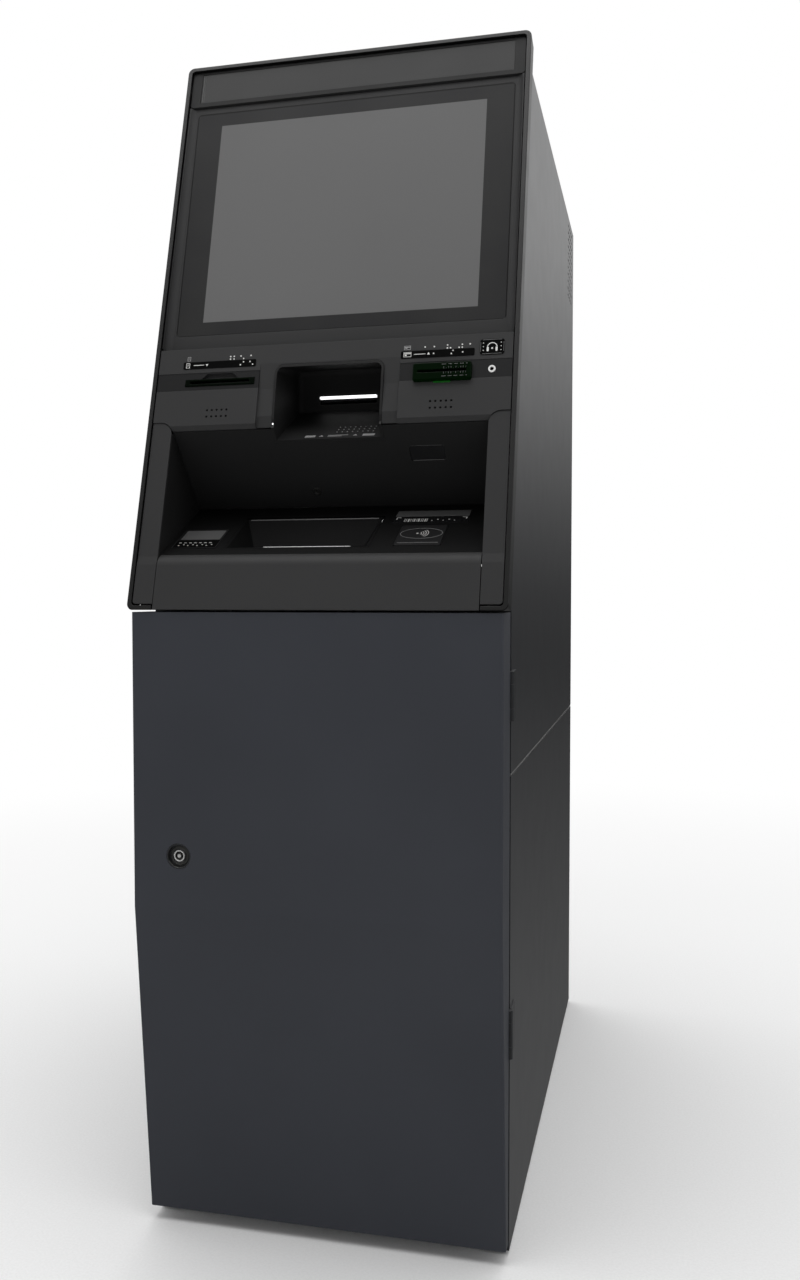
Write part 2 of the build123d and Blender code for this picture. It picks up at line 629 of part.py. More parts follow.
def screen_surround():
    """The recessed plate around the glass, swept up to the frame at both sides."""
    plate = sunk(SCREEN, -INSET_HALF_W, INSET_HALF_W, 0, SCREEN_LEN, 0, 7)
    plate -= sunk_rounded(SCREEN, -GLASS_HALF_W - 0.3, GLASS_HALF_W + 0.3, GLASS_U[0] - 0.3, GLASS_U[1] + 0.3,
                          -1, GLASS_T + 0.1, 5.3)
    plate -= sunk(SCREEN, -205, 205, 29.5, 356.5, -1, 15)
    for side in (-1, 1):
        edge = side * INSET_HALF_W
        toe = side * (INSET_HALF_W - 9)
        bend = side * (INSET_HALF_W - 3)
        line = Line((edge, 0), (toe, 0))
        sweep = ThreePointArc((toe, 0), (bend, 3.5), (edge - side, 13.5))
        rest = Polyline((edge - side, 13.5), (edge, 13.5), (edge, 0))
        face = Plane.XZ * make_face([line, sweep, rest])
        plate += SCREEN * extrude(face, amount=SCREEN_LEN, dir=(0, 1, 0))
    plate -= sunk(FASCIA, -300, 300, SCREEN_FOOT - 9, TOPPER_S[1], -60, TOPPER_D - 1)
    return plate - sunk(FASCIA, -300, 300, TOPPER_S[0] - 1, TOPPER_S[1], -60, 60)


def screen_glass():
    return sunk_rounded(SCREEN, -GLASS_HALF_W, GLASS_HALF_W, *GLASS_U, 0, GLASS_T, 5)


def display_module():
    """The flat panel behind the glass, with its shallower electronics box."""
    panel = sunk(SCREEN, -196, 196, 34, 350, GLASS_T + 0.2, 19)
    return panel + sunk(SCREEN, -150, 150, 65, 325, 18, 47)


def slip_notch():
    """The thumb notch above the receipt slot."""
    face = make_face(Polyline((-176, SLIP_S[1]), (-124, SLIP_S[1]), (-133, 324), (-168, 324), close=True))
    return FASCIA * Pos(0, 0, -6) * extrude(face, amount=10, dir=(0, 0, 1))


def console_holes():
    """What is cut through the console moulding and its trim strips."""
    holes = sunk(FASCIA, SLIP_X[0] - 0.2, SLIP_X[1] + 0.2, SLIP_S[0] - 0.2, SLIP_S[1] + 0.2, -9, 30)
    holes += slip_notch()
    holes += sunk_rounded(FASCIA, CARD_X[0] - 0.2, CARD_X[1] + 0.2, CARD_S[0] - 0.2, CARD_S[1] + 0.2,
                          -9, 30, 3.2)
    holes += sunk_disc(FASCIA, JACK_X, JACK_S, 4.9, -9, 30)
    return holes


def recess_shell(grow):
    """Outside of the note recess's lining, or of the hole it needs when grown."""
    half = RECESS_HALF_W + 3 + grow
    back = RECESS_BACK_Y + 3 + grow
    top = RECESS_TOP_S + 3 + grow
    outer = [on_wall(RECESS_FOOT_T + 4 + grow, -0.5 - grow), (back, 1089.4 - grow), (back, 1153.4 + grow),
             on_fascia(top, 0.6 - 3 * grow), on_fascia(top - 20, 0.6 - 3 * grow),
             on_fascia(272, 3 - 3 * grow), on_fascia(258, 4 - 9 * grow), on_fascia(250, 7 - 9 * grow),
             on_wall(4, -0.5 - 9 * grow)]
    shell = profile(outer, -half, half)
    shoulder = shell.edges().filter_by(lambda e: abs(e.center().X) > half - 1 and e.center().Z > 1120
                                       and e.length > 60)
    return fillet(shoulder, 11 + grow)


def cheek_plate(grow):
    """Front outline of the right cheek, round at its inner top corner."""
    face = Pos((CHEEK_X + INSET_HALF_W) / 2, (CHEEK_S[0] + CHEEK_S[1]) / 2) * Rectangle(
        INSET_HALF_W - CHEEK_X + 2 * grow, CHEEK_S[1] - CHEEK_S[0] + 2 * grow)
    inner = face.vertices().sort_by(Axis.X)[:2].sort_by(Axis.Y)[-1]
    outer = face.vertices().sort_by(Axis.X)[2:].sort_by(Axis.Y)[0]
    face = fillet(inner, 16)
    face = fillet(face.vertices().sort_by_distance(outer)[0], 4)
    return face


def console_face():
    """The middle moulding: two raised blocks, a dished centre and the note recess mouth."""
    low, high = CONSOLE_S
    block = [(high + 4, 15), (high, 1), (low + 5, 1), (low, 6), (low, 10), (high - 5, 10), (high - 5, 15)]
    centre = [(high + 4, 15), (high, 1), (RECESS_TOP_S + 6, 1), (300, 4), (low + 16, 4), (low + 1.5, 8),
              (low + 1.5, 12), (high - 5, 12), (high - 5, 15)]
    face = profile([on_fascia(s, d) for s, d in centre], -BLOCK_X, BLOCK_X)
    for side in (-1, 1):
        x0, x1 = sorted((side * BLOCK_X, side * INSET_HALF_W))
        face += profile([on_fascia(s, d) for s, d in block], x0, x1)
        face -= sunk(FASCIA, x0 - 0.01, x1 + 0.01, *BAND_S, 0, 3.6)
        cheek = extrude(cheek_plate(0.5), amount=80, both=True)
        face -= FASCIA * (cheek if side > 0 else mirror(cheek, about=Plane.YZ))
        for column in range(5):
            for row in range(2):
                x = side * 150 + (column - 2) * DOT_PITCH
                face -= sunk_disc(FASCIA, x, 263 + row * 9, DOT_R, -1, 20)
    face -= console_holes()
    return face - recess_shell(0.2)


def slot_trim():
    """The two trim strips let into the console blocks around the slots."""
    strips = []
    for side in (-1, 1):
        x0, x1 = sorted((side * (BLOCK_X + 0.3), side * INSET_HALF_W))
        strip = sunk(FASCIA, x0, x1, BAND_S[0] + 0.2, BAND_S[1] - 0.2, 1.4, 3.6)
        strips.append(strip - console_holes())
    return strips


def receipt_bezel():
    """A translucent bar with the receipt slot through it."""
    bezel = sunk(FASCIA, *SLIP_X, *SLIP_S, 0.4, 12)
    bezel -= sunk(FASCIA, SLIP_X[0] + 7, SLIP_X[1] - 7, 309.8, 314.2, -1, 20)
    return bezel


def card_bezel():
    """A bezel that stands proud around the card slot, ribbed on its right half."""
    bezel = sunk_rounded(FASCIA, *CARD_X, *CARD_S, -5, 14, 3)
    front = bezel.faces().sort_by(Axis((0, 0, 0), (0, -TILT_COS, TILT_SIN)))[-1]
    bezel = fillet(front.edges(), 1.5)
    bezel -= sunk(FASCIA, CARD_X[0] + 6, CARD_X[1] - 6, 308.4, 312.8, -8, 20)
    for step in range(4):
        bezel += sunk(FASCIA, 156 + step * 7.5, 158.4 + step * 7.5, 313.6, 320.4, -6.2, -4)
        bezel += sunk(FASCIA, 156 + step * 7.5, 158.4 + step * 7.5, 300.6, 307.6, -6.2, -4)
    return bezel


def jack_socket():
    """The headphone socket: a round collar with a 3.6 mm bore."""
    collar = sunk_disc(FASCIA, JACK_X, JACK_S, 4.7, 0.6, 14)
    return collar - sunk_disc(FASCIA, JACK_X, JACK_S, JACK_R, -1, 13)


def label_plates():
    """Two label strips over the slots and the headphone pictogram plate."""
    strips = [sunk_rounded(FASCIA, -203.5, -101.2, 331.8, 341.8, 0.4, 1, 1.5),
              sunk_rounded(FASCIA, 94.9, 190, 331.8, 341.8, 0.4, 1, 1.5)]
    strips.append(sunk_rounded(FASCIA, 196.8, 227.8, 331.7, 352.6, 0.2, 1, 3.5))
    return strips


def right_cheek():
    """A cheek plate beside the pocket, creased just above the lip."""
    plate = FASCIA * Pos(0, 0, -1 - CHEEK_T) * extrude(cheek_plate(0), amount=CHEEK_T)
    low, high = CHEEK_CREASE
    step = [on_fascia(low, 0.9), on_fascia(high, 2.4), on_fascia(300, 2.4), on_fascia(300, -20),
            on_fascia(low, -20)]
    return above_door(plate - profile(step, CHEEK_X - 5, INSET_HALF_W + 5))


def front_lip():
    """The rounded front edge of the pocket, with a level foot just above the door."""
    start = 1.2
    points = [on_fascia(start, 0.8), on_fascia(LIP_S, 0.8), on_shelf(12, 0), on_shelf(12, PLATE),
              on_fascia(LIP_S - 2.2, PLATE + 0.8), on_fascia(start + 12, PLATE + 0.8),
              on_fascia(start + 12, 22), on_fascia(start, 22)]
    lip = profile(points, -CHEEK_X + CHEEK_GAP, CHEEK_X - CHEEK_GAP)
    edges = lip.edges().filter_by(Axis.X).sort_by(lambda e: abs(e.center().Y - points[1][0]) +
                                                  abs(e.center().Z - points[1][1]))
    return above_door(fillet(edges[0], 19))


def pocket_side():
    """The right side wall of the pocket, behind the cheek."""
    front = CHEEK_T + 1.1
    outline = [on_fascia(20, front), on_fascia(CHEEK_S[1] - 17, front), on_wall(10, 9),
               on_wall(WALL_LEN + 8, 8), on_shelf(SHELF_LEN + 2, 9), on_shelf(12, 9), on_fascia(20, 20)]
    return above_door(profile(outline, CHEEK_X, CHEEK_X + 3.5))


def pocket_walls():
    """The receding wall, with the recess mouth, a sensor window and the fascia lock, and both side walls."""
    points = [on_wall(6, 0), on_wall(WALL_LEN, 0), on_wall(WALL_LEN + 3, PLATE), on_wall(12.6, PLATE)]
    wall = profile(points, -CHEEK_X + 0.3, CHEEK_X - 0.3)
    wall -= recess_shell(0.2)
    wall -= sunk(WALL, -73.8, 73.8, -RECESS_FOOT_T, 20, -5, 20)
    wall -= sunk_rounded(WALL, 103.8, 150.2, -63.7, -39.3, -5, 20, 4.2)
    wall -= sunk_disc(WALL, FASCIA_LOCK_X, -FASCIA_LOCK_T, 6.1, -5, 20)
    return [wall, *both_sides(pocket_side)]


def pocket_shelf():
    """The sloping shelf with cut-outs for the pad, the tray, the reader and the window."""
    shelf = sunk(SHELF, -CHEEK_X + 0.3, CHEEK_X - 0.3, 12.3, SHELF_LEN - 1, 0, PLATE)
    shelf -= sunk(SHELF, TRAY_X[0] - 3.3, TRAY_X[1] + 3.3, TRAY_T[0] - 3.3, TRAY_T[1] + 6, -1, 9)
    for x, t in ((PAD_X, PAD_T), (READER_X, READER_T), (SCAN_X, SCAN_T)):
        shelf -= sunk(SHELF, x[0] - 0.3, x[1] + 0.3, t[0] - 0.3, t[1] + 0.3, -1, 9)
    return shelf


def tray_outline(grow):
    """Side outline of the tray's hollow, or of its outside when grown."""
    start = on_shelf(TRAY_T[0], 0)
    face = make_face(Polyline(start, TRAY_FOLD, TRAY_LIP, close=True))
    if grow:
        face = offset(face, amount=grow, kind=Kind.INTERSECTION)
    return face


def tray_body(grow):
    """The tray's hollow: the side outline, narrowed towards the fold."""
    depth = 23.0
    x0, x1 = TRAY_X
    side = extrude(Plane.YZ.offset(x0 - 20) * tray_outline(grow), amount=x1 - x0 + 40, dir=(1, 0, 0))
    low = depth + 9
    left = x0 + TRAY_TAPER - grow
    right = x1 - TRAY_TAPER + grow
    rim = Polyline((x0 - grow, grow + 2), (x1 + grow, grow + 2), (x1 + grow, 0), (right, -depth),
                   (right, -low), (left, -low), (left, -depth), (x0 - grow, 0), close=True)
    face = Plane(origin=(0, -60, 0), x_dir=(1, 0, 0), z_dir=(0, -1, 0)) * make_face(rim)
    return side & (SHELF * extrude(face, amount=300, dir=(0, 1, 0)))


def cash_tray():
    """A sunk tray, open at its back where the shutter closes it, with two shutter guides."""
    tray = tray_body(3.0) - tray_body(0.0)
    tray -= sunk(SHELF, -300, 300, -60, 300, -40, 0)
    tray -= SHUTTER * span(-300, 300, -60, 90, -60, 0)
    tray -= sunk(SHELF, -300, 300, -60, TRAY_T[0] - 3, -10, 20)
    for x0, x1 in ((TRAY_X[0] - 3, TRAY_X[0] + 1), (TRAY_X[1] - 1, TRAY_X[1] + 3)):
        guide = SHUTTER * span(x0, x1, -SHUTTER_TRAVEL, SHUTTER_LEN - 12, -10, -0.05)
        guide -= SHUTTER * span(TRAY_X[0] + 0.2, TRAY_X[1] - 0.2, -60, 90, -4, -0.04)
        tray += guide
        tray += SHUTTER * span(x0, x1, -SHUTTER_TRAVEL, 14, -0.06, 3)
    tray += SHUTTER * span(TRAY_X[0] - 3, TRAY_X[1] + 3, -4.4, -1.2, 0, 3.4)
    return tray - tray_body(0.0)


def cash_shutter():
    """The plate that closes the back of the tray; it drops down its guides to open."""
    return SHUTTER * span(TRAY_X[0] + 0.7, TRAY_X[1] - 0.7, 0.6, SHUTTER_LEN, -0.5 - SHUTTER_T, -0.5)


def recess_liner():
    """The hood's lining: side walls, curved ceiling, sloping floor and a back with the note slit."""
    front_top = on_fascia(RECESS_TOP_S, 2)
    foot = on_wall(RECESS_FOOT_T, 0)
    half = RECESS_HALF_W
    ahead = [(foot[0] - 60, foot[1] - 32), (RECESS_BACK_Y, 1093), (RECESS_BACK_Y, 1150),
             (front_top[0] - 60, front_top[1] - 8)]
    hollow = profile(ahead, -half, half)
    corner = hollow.edges().filter_by(lambda e: abs(e.center().X) > half - 1 and e.center().Z > 1120
                                      and e.length > 60)
    hollow = fillet(corner, 8)
    ceiling = hollow.edges().filter_by(Axis.X).group_by(Axis.Y)[-1].sort_by(Axis.Z)[-1]
    liner = recess_shell(0) - fillet(ceiling, 7)
    liner -= span(-40, 40, 160, 190, *SLIT_Z)
    return liner - span(-LIGHT_HALF_W - 0.2, LIGHT_HALF_W + 0.2, 160, 190, LIGHT_Z[0] - 0.2, LIGHT_Z[1] + 0.2)


def note_slot_light():
    """The lit bar over the note slit."""
    bar_body = span(-LIGHT_HALF_W, LIGHT_HALF_W, 172.5, 177, *LIGHT_Z)
    return fillet(bar_body.edges().filter_by(Axis.Y), 1.5)


def receipt_printer():
    """The printer behind the left block, with arms and a spindle for its roll."""
    case = sunk(FASCIA, -215, -105, 258, 352, 12.2, 140)
    case -= sunk(FASCIA, -197, -113, 309.8, 314.2, 10, 80)
    for x in (-211, -122):
        case += sunk(FASCIA, x, x + 3, 288, 312, 138, 196)
    return case + FASCIA * bar("X", ROLL_X, ROLL_S, -ROLL_D, 5, 90)


def paper_roll():
    roll = FASCIA * bar("X", ROLL_X, ROLL_S, -ROLL_D, 40, 78)
    return roll - FASCIA * bar("X", ROLL_X, ROLL_S, -ROLL_D, 6, 90)


def card_reader():
    """The motorised reader behind the card bezel."""
    case = sunk(FASCIA, 112, 190, 286, 350, 14.2, 165)
    return case - sunk(FASCIA, 120, 180, 308.4, 312.8, 10, 90)


def scanner_windows():
    """The sensor window in the pocket wall and the barcode window in the shelf."""
    sensor = sunk_rounded(WALL, 104, 150, -63.5, -39.5, 1.2, 3.6, 4)
    barcode = sunk_rounded(SHELF, *SCAN_X, *SCAN_T, 0.3, 3.6, 1.2)
    return [sensor, barcode]


def shelf_readers():
    """The reader pad on the left of the shelf and the contactless reader on its right."""
    pad = sunk_rounded(SHELF, *PAD_X, *PAD_T, -0.8, 8, 2)
    pad -= sunk(SHELF, PAD_X[0] + 3, PAD_X[1] - 3, 57, PAD_T[1] - 2, -2, 0.2)
    reader = sunk_rounded(SHELF, *READER_X, *READER_T, -1.6, 12, 4)
    reader = chamfer(reader.faces().sort_by(Axis((0, 0, 0), (0, -SHELF_SIN, SHELF_COS)))[-1].edges(), 1)
    return [pad, reader]


def fascia_lock_body():
    body = sunk_disc(WALL, FASCIA_LOCK_X, -FASCIA_LOCK_T, 6, -0.6, 27)
    nut = WALL * Pos(FASCIA_LOCK_X, -FASCIA_LOCK_T, -PLATE - 4) * extrude(RegularPolygon(8.5, 6), amount=4)
    return body + nut - sunk_disc(WALL, FASCIA_LOCK_X, -FASCIA_LOCK_T, 4 + RUNNING, -5, 40)


def fascia_lock_cylinder():
    """The turning core; its cam lies across when the lock is open."""
    core = sunk_disc(WALL, FASCIA_LOCK_X, -FASCIA_LOCK_T, 4, -0.2, 32)
    x = FASCIA_LOCK_X
    t = FASCIA_LOCK_T
    slot = sunk(WALL, x - 0.6, x + 0.6, -t - 2.6, -t + 2.6, -1, 3)
    cam = sunk(WALL, x - 6, x + 34, -t - 6, -t + 6, 28, 31)
    return core - slot + cam


# ---- write every part ---------------------------------------------------
def all_parts():
    parts = {}
    for name, make in (("lower_side", lower_side), ("upper_side", upper_side), ("cheek", right_cheek)):
        parts["left_" + name], parts["right_" + name] = both_sides(make)
    makers = [
        base_frame, levelling_feet, safe_body, safe_door, safe_handle, safe_dial, cash_cassettes,
        dispenser_frame, note_transport, note_validator, deck_plate, top_cover, lower_rear_panel,
        upper_rear_panel, rear_screws, upper_frame, computer_unit, fan_housing, fan_rotor, cable_grommet,
        lock_strikes, cabinet_hinge_leaves, door_hinge_leaves, door_skin, door_stiffener, door_lock_body,
        door_lock_cylinder, fascia_frame, fascia_chassis, topper_housing, topper_lens, screen_surround,
        screen_glass, display_module, console_face, slot_trim, receipt_bezel, card_bezel, jack_socket,
        label_plates, front_lip, pocket_walls, pocket_shelf, cash_tray, cash_shutter, recess_liner,
        note_slot_light, receipt_printer, paper_roll, card_reader, scanner_windows, shelf_readers,
        fascia_lock_body, fascia_lock_cylinder,
    ]
    for make in makers:
        parts[make.__name__] = make()
    return parts


def solids_of(shape):
    """One list of solids, whether a part is one solid or a group."""
    if isinstance(shape, list):
        return [solid for item in shape for solid in solids_of(item)]
    return list(shape.solids())


def main():
    os.makedirs("parts", exist_ok=True)
    to_origin = Pos(0, -CENTRE_Y, 0)
    for name, shape in all_parts().items():
        moved = [to_origin * solid for solid in solids_of(shape)]
        whole = moved[0] if len(moved) == 1 else Compound(children=moved)
        export_step(whole, f"parts/{name}.step")


main()
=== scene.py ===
import json
import math
import bmesh
import bpy
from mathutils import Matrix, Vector


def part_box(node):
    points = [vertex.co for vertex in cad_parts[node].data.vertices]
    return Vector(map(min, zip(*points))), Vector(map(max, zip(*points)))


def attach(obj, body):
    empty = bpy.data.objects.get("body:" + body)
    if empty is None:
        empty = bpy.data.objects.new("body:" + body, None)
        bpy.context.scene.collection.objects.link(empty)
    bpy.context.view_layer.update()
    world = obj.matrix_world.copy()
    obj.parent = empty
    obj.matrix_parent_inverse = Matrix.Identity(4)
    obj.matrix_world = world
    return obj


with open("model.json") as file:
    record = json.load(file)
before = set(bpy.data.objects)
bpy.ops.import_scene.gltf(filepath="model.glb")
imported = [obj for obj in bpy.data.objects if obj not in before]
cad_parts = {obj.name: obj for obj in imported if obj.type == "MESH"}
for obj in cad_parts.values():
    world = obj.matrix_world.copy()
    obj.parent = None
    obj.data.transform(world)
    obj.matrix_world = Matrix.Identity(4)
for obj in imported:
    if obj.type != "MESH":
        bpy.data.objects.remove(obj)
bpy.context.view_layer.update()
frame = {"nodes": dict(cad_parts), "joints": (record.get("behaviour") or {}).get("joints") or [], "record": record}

MM = 0.001
NODES = frame["nodes"]
JOINTS = {joint["name"]: joint for joint in frame["joints"]}
MOUNTS = {mount["name"]: mount for mount in frame["record"]["mounts"]}


# ---- faces of the machine that details are placed on ----------------------
class Face:
    """A flat face: x to the right, up along the face, and out of it. Millimetres in, metres out."""

    def __init__(self, origin, up, out):
        self.origin = Vector(origin)
        self.up = Vector(up).normalized()
        self.out = Vector(out).normalized()

    def point(self, x, up, out=0.0):
        return self.origin + (Vector((x, 0, 0)) + self.up * up + self.out * out) * MM


def forward_face(place, out, rise, depth=0.0):
    """A forward-looking face, from a place that lies rise up from the face's origin and depth behind it."""
    out = Vector(out).normalized()
    up = Vector((0, out.z, -out.y))
    middle = Vector((0, place[1], place[2]))
    return Face(middle + (out * depth - up * rise) * MM, up, out)


def sloping_face(origin, slope):
    """An upward-looking face that rises towards the back."""
    return Face(origin, (0, math.cos(slope), math.sin(slope)), (0, -math.sin(slope), math.cos(slope)))


def leaning_face(base, up, out, lean):
    """A face whose origin lies up and out on another face, and that leans further out."""
    return Face(base.point(0, up, out), base.up * math.cos(lean) + base.out * math.sin(lean),
                base.out * math.cos(lean) - base.up * math.sin(lean))


JACK = MOUNTS["headphone_jack"]
JACK_UP = 312.4          # how far up the fascia the headphone socket lies
JACK_DEPTH = 7.0         # how far behind the fascia's front plane its mount is given
FASCIA = forward_face(JACK["pos_m"], JACK["axis"], JACK_UP, JACK_DEPTH)

WALL_LOCK = JOINTS["fascia_lock_turn"]
LOCK_DOWN = 108.5        # how far down the pocket wall the fascia's lock lies
WALL = forward_face(WALL_LOCK["pos_m"], -Vector(WALL_LOCK["axis"]), -LOCK_DOWN)

SHELF_SLOPE = math.radians(27.7)
SHELF_START = 12.3       # from the shelf's own origin to its front edge
SHELF_END = 159.0        # from there to its back edge
shelf_low, shelf_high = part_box("pocket_shelf")
SHELF = sloping_face((0, shelf_low.y - SHELF_START * math.cos(SHELF_SLOPE) * MM,
                      shelf_high.z - SHELF_END * math.sin(SHELF_SLOPE) * MM), SHELF_SLOPE)

SCREEN_FOOT = 365.5      # where the recessed screen panel starts, up the fascia
SCREEN_DEPTH = 15.0
SCREEN = leaning_face(FASCIA, SCREEN_FOOT, -SCREEN_DEPTH, math.radians(1.16))

RECESS_FOOT = 23.0       # where the recess's floor meets the pocket wall
RECESS_FLOOR = sloping_face(WALL.point(0, -RECESS_FOOT), math.radians(27.8))

FOLD_UP, FOLD_OUT = 80.4, -22.3      # the cash tray's fold, on the shelf's face
SHUTTER = leaning_face(SHELF, FOLD_UP, FOLD_OUT, math.radians(28.19))

DOOR_FRONT = -492.4 * MM             # the door's upper, upright face
DOOR = Face((0, DOOR_FRONT, 0), (0, 0, 1), (0, -1, 0))
SEAM = Face((0, DOOR_FRONT, 0), (0, 1, 0), (0, 0, 1))


# ---- material building -----------------------------------------------------
EDGE_WEAR_AND_GLINT_WIDTH = 0.0009      # how wide the lighter edge band is, for wear and for a painted glint on the green bezels, in metres
EDGE_WEAR_AND_GLINT_GAIN = 9.0
ROUND_EDGE = 0.0006      # the radius that edges seem to have, in metres
BEVEL_SAMPLES = 4


class Graph:
    """A short way to write a material's nodes."""

    def __init__(self, name):
        self.material = bpy.data.materials.new(name)
        self.material.use_nodes = True
        self.tree = self.material.node_tree
        self.shader = self.tree.nodes["Principled BSDF"]
        self.place = self.add("ShaderNodeTexCoord").outputs["Object"]

    def add(self, kind, **settings):
        node = self.tree.nodes.new(kind)
        for key, value in settings.items():
            setattr(node, key, value)
        return node

    def link(self, source, target):
        self.tree.links.new(source, target)

    def feed(self, socket, value):
        if isinstance(value, bpy.types.NodeSocket):
            self.link(value, socket)
        else:
            socket.default_value = value

    def noise(self, scale, detail=3.0, stretch=(1, 1, 1)):
        mapping = self.add("ShaderNodeMapping")
        mapping.inputs["Scale"].default_value = stretch
        self.link(self.place, mapping.inputs["Vector"])
        noise = self.add("ShaderNodeTexNoise")
        noise.inputs["Scale"].default_value = scale
        noise.inputs["Detail"].default_value = detail
        self.link(mapping.outputs[0], noise.inputs["Vector"])
        return noise.outputs["Fac"]

    def maths(self, operation, a, b=0.0, clamp=False):
        node = self.add("ShaderNodeMath", operation=operation, use_clamp=clamp)
        self.feed(node.inputs[0], a)
        self.feed(node.inputs[1], b)
        return node.outputs[0]

    def spread(self, value, low, high):
        """Maps 0.35..0.65, where noise mostly lies, onto low..high."""
        node = self.add("ShaderNodeMapRange")
        self.feed(node.inputs["Value"], value)
        node.inputs["From Min"].default_value = 0.35
        node.inputs["From Max"].default_value = 0.65
        node.inputs["To Min"].default_value = low
        node.inputs["To Max"].default_value = high
        return node.outputs["Result"]

    def mix(self, factor, a, b):
        node = self.add("ShaderNodeMix", data_type="RGBA")
        self.feed(node.inputs["Factor"], factor)
        self.feed(node.inputs["A"], a)
        self.feed(node.inputs["B"], b)
        return node.outputs["Result"]

    def soft_normal(self, radius):
        bevel = self.add("ShaderNodeBevel", samples=BEVEL_SAMPLES)
        bevel.inputs["Radius"].default_value = radius
        return bevel.outputs[0]

    def dot(self, value, direction):
        node = self.add("ShaderNodeVectorMath", operation="DOT_PRODUCT")
        self.feed(node.inputs[0], value)
        self.feed(node.inputs[1], direction)
        return node.outputs["Value"]

    def edge(self):
        """1 along outer edges, which are painted lighter: wear, and on the green bezels a painted glint. 0 on
        flats, broken up by noise.
        """
        flat = self.add("ShaderNodeNewGeometry").outputs["Normal"]
        turned = self.maths("SUBTRACT", 1.0, self.dot(self.soft_normal(EDGE_WEAR_AND_GLINT_WIDTH), flat))
        edge_wear_and_glint = self.maths("MULTIPLY", turned, EDGE_WEAR_AND_GLINT_GAIN, clamp=True)
        patchy = self.spread(self.noise(140.0, 4.0), 0.25, 1.0)
        return self.maths("MULTIPLY", edge_wear_and_glint, patchy, clamp=True)

    def bump(self, height, strength, distance, normal):
        node = self.add("ShaderNodeBump")
        node.inputs["Strength"].default_value = strength
        node.inputs["Distance"].default_value = distance
        self.link(height, node.inputs["Height"])
        self.link(normal, node.inputs["Normal"])
        return node.outputs[0]


def rgba(color, gain=1.0):
    return (*(min(1.0, part * gain) for part in color), 1.0)


def finish_surface(name, color, rough, grain, grain_height, edge_wear_and_glint=1.5, rough_range=0.025, metallic=0.0,
                   coat=0.0, specular=0.5, stretch=(1, 1, 1), emission=None, tone=0.05):
    """The common finish: slow tone drift, fine grain in colour, roughness and bump, and lighter edges for wear,
    which on the green bezels are a painted glint.
    """
    graph = Graph(name)
    shader = graph.shader
    drift = graph.noise(5.0, 2.0)
    fine = graph.noise(grain, 4.0, stretch)
    body = graph.mix(graph.spread(drift, 0, 1), rgba(color, 1 - tone), rgba(color, 1 + tone))
    body = graph.mix(graph.spread(fine, 0, 0.5), body, rgba(color, 1 + 2.2 * tone))
    edge = graph.edge()
    # edges painted lighter: wear, and on the green bezels a painted glint
    shade = graph.mix(graph.maths("MULTIPLY", edge, 0.6), body, rgba(color, edge_wear_and_glint))
    graph.link(shade, shader.inputs["Base Color"])
    blotch = graph.spread(graph.noise(22.0, 5.0), rough - rough_range, rough + rough_range)
    speckle = graph.maths("ADD", blotch, graph.spread(fine, -rough_range, rough_range), clamp=True)
    smooth = graph.maths("SUBTRACT", speckle, graph.maths("MULTIPLY", edge, 0.12), clamp=True)
    graph.link(smooth, shader.inputs["Roughness"])
    shader.inputs["Metallic"].default_value = metallic
    shader.inputs["Coat Weight"].default_value = coat
    shader.inputs["Coat Roughness"].default_value = 0.12
    shader.inputs["Specular IOR Level"].default_value = specular
    graph.link(graph.bump(fine, 0.6, grain_height, graph.soft_normal(ROUND_EDGE)), shader.inputs["Normal"])
    if emission:
        glow, strength = emission
        shader.inputs["Emission Color"].default_value = rgba(glow)
        shader.inputs["Emission Strength"].default_value = strength
    return graph.material


def grey(level):
    return (level, level, level)


SCREEN_MIDDLE = 192.0           # up the screen panel
DISPLAY_HALF = (188.8, 150.5)   # the lit area of a 19 inch, 5:4 panel
GLASS_RIM_HALF = (224.8, 169.4)


def glass_surface():
    """Touch glass: a black printed border with a darker rim round the paler, switched-off display."""
    graph = Graph("screen_glass")
    shader = graph.shader
    offset = graph.add("ShaderNodeVectorMath", operation="SUBTRACT")
    graph.link(graph.place, offset.inputs[0])
    offset.inputs[1].default_value = SCREEN.point(0, SCREEN_MIDDLE)
    across = graph.maths("ABSOLUTE", graph.dot(offset.outputs[0], (1, 0, 0)))
    upward = graph.maths("ABSOLUTE", graph.dot(offset.outputs[0], SCREEN.up))

    def beyond(half_width, half_height):
        over_x = graph.maths("SUBTRACT", across, half_width * MM)
        over_y = graph.maths("SUBTRACT", upward, half_height * MM)
        return graph.maths("GREATER_THAN", graph.maths("MAXIMUM", over_x, over_y), 0.0)

    def drifting(scale, detail, low, high):
        return graph.mix(graph.spread(graph.noise(scale, detail), 0, 1), rgba(low), rgba(high))

    cells = graph.noise(2600.0, 1.0)
    panel = drifting(1.6, 1.0, grey(0.134), grey(0.148))
    panel = graph.mix(graph.spread(cells, 0, 0.10), panel, rgba((0.115, 0.115, 0.12)))
    ink = drifting(9.0, 3.0, (0.026, 0.026, 0.027), grey(0.030))
    ink = graph.mix(beyond(*GLASS_RIM_HALF), ink, rgba(grey(0.010)))
    graph.link(graph.mix(beyond(*DISPLAY_HALF), panel, ink), shader.inputs["Base Color"])
    graph.link(graph.spread(graph.noise(14.0, 6.0), 0.30, 0.40), shader.inputs["Roughness"])
    graph.link(graph.bump(cells, 0.15, 0.00001, graph.soft_normal(0.0005)), shader.inputs["Normal"])
    shader.inputs["Specular IOR Level"].default_value = 0.12
    return graph.material


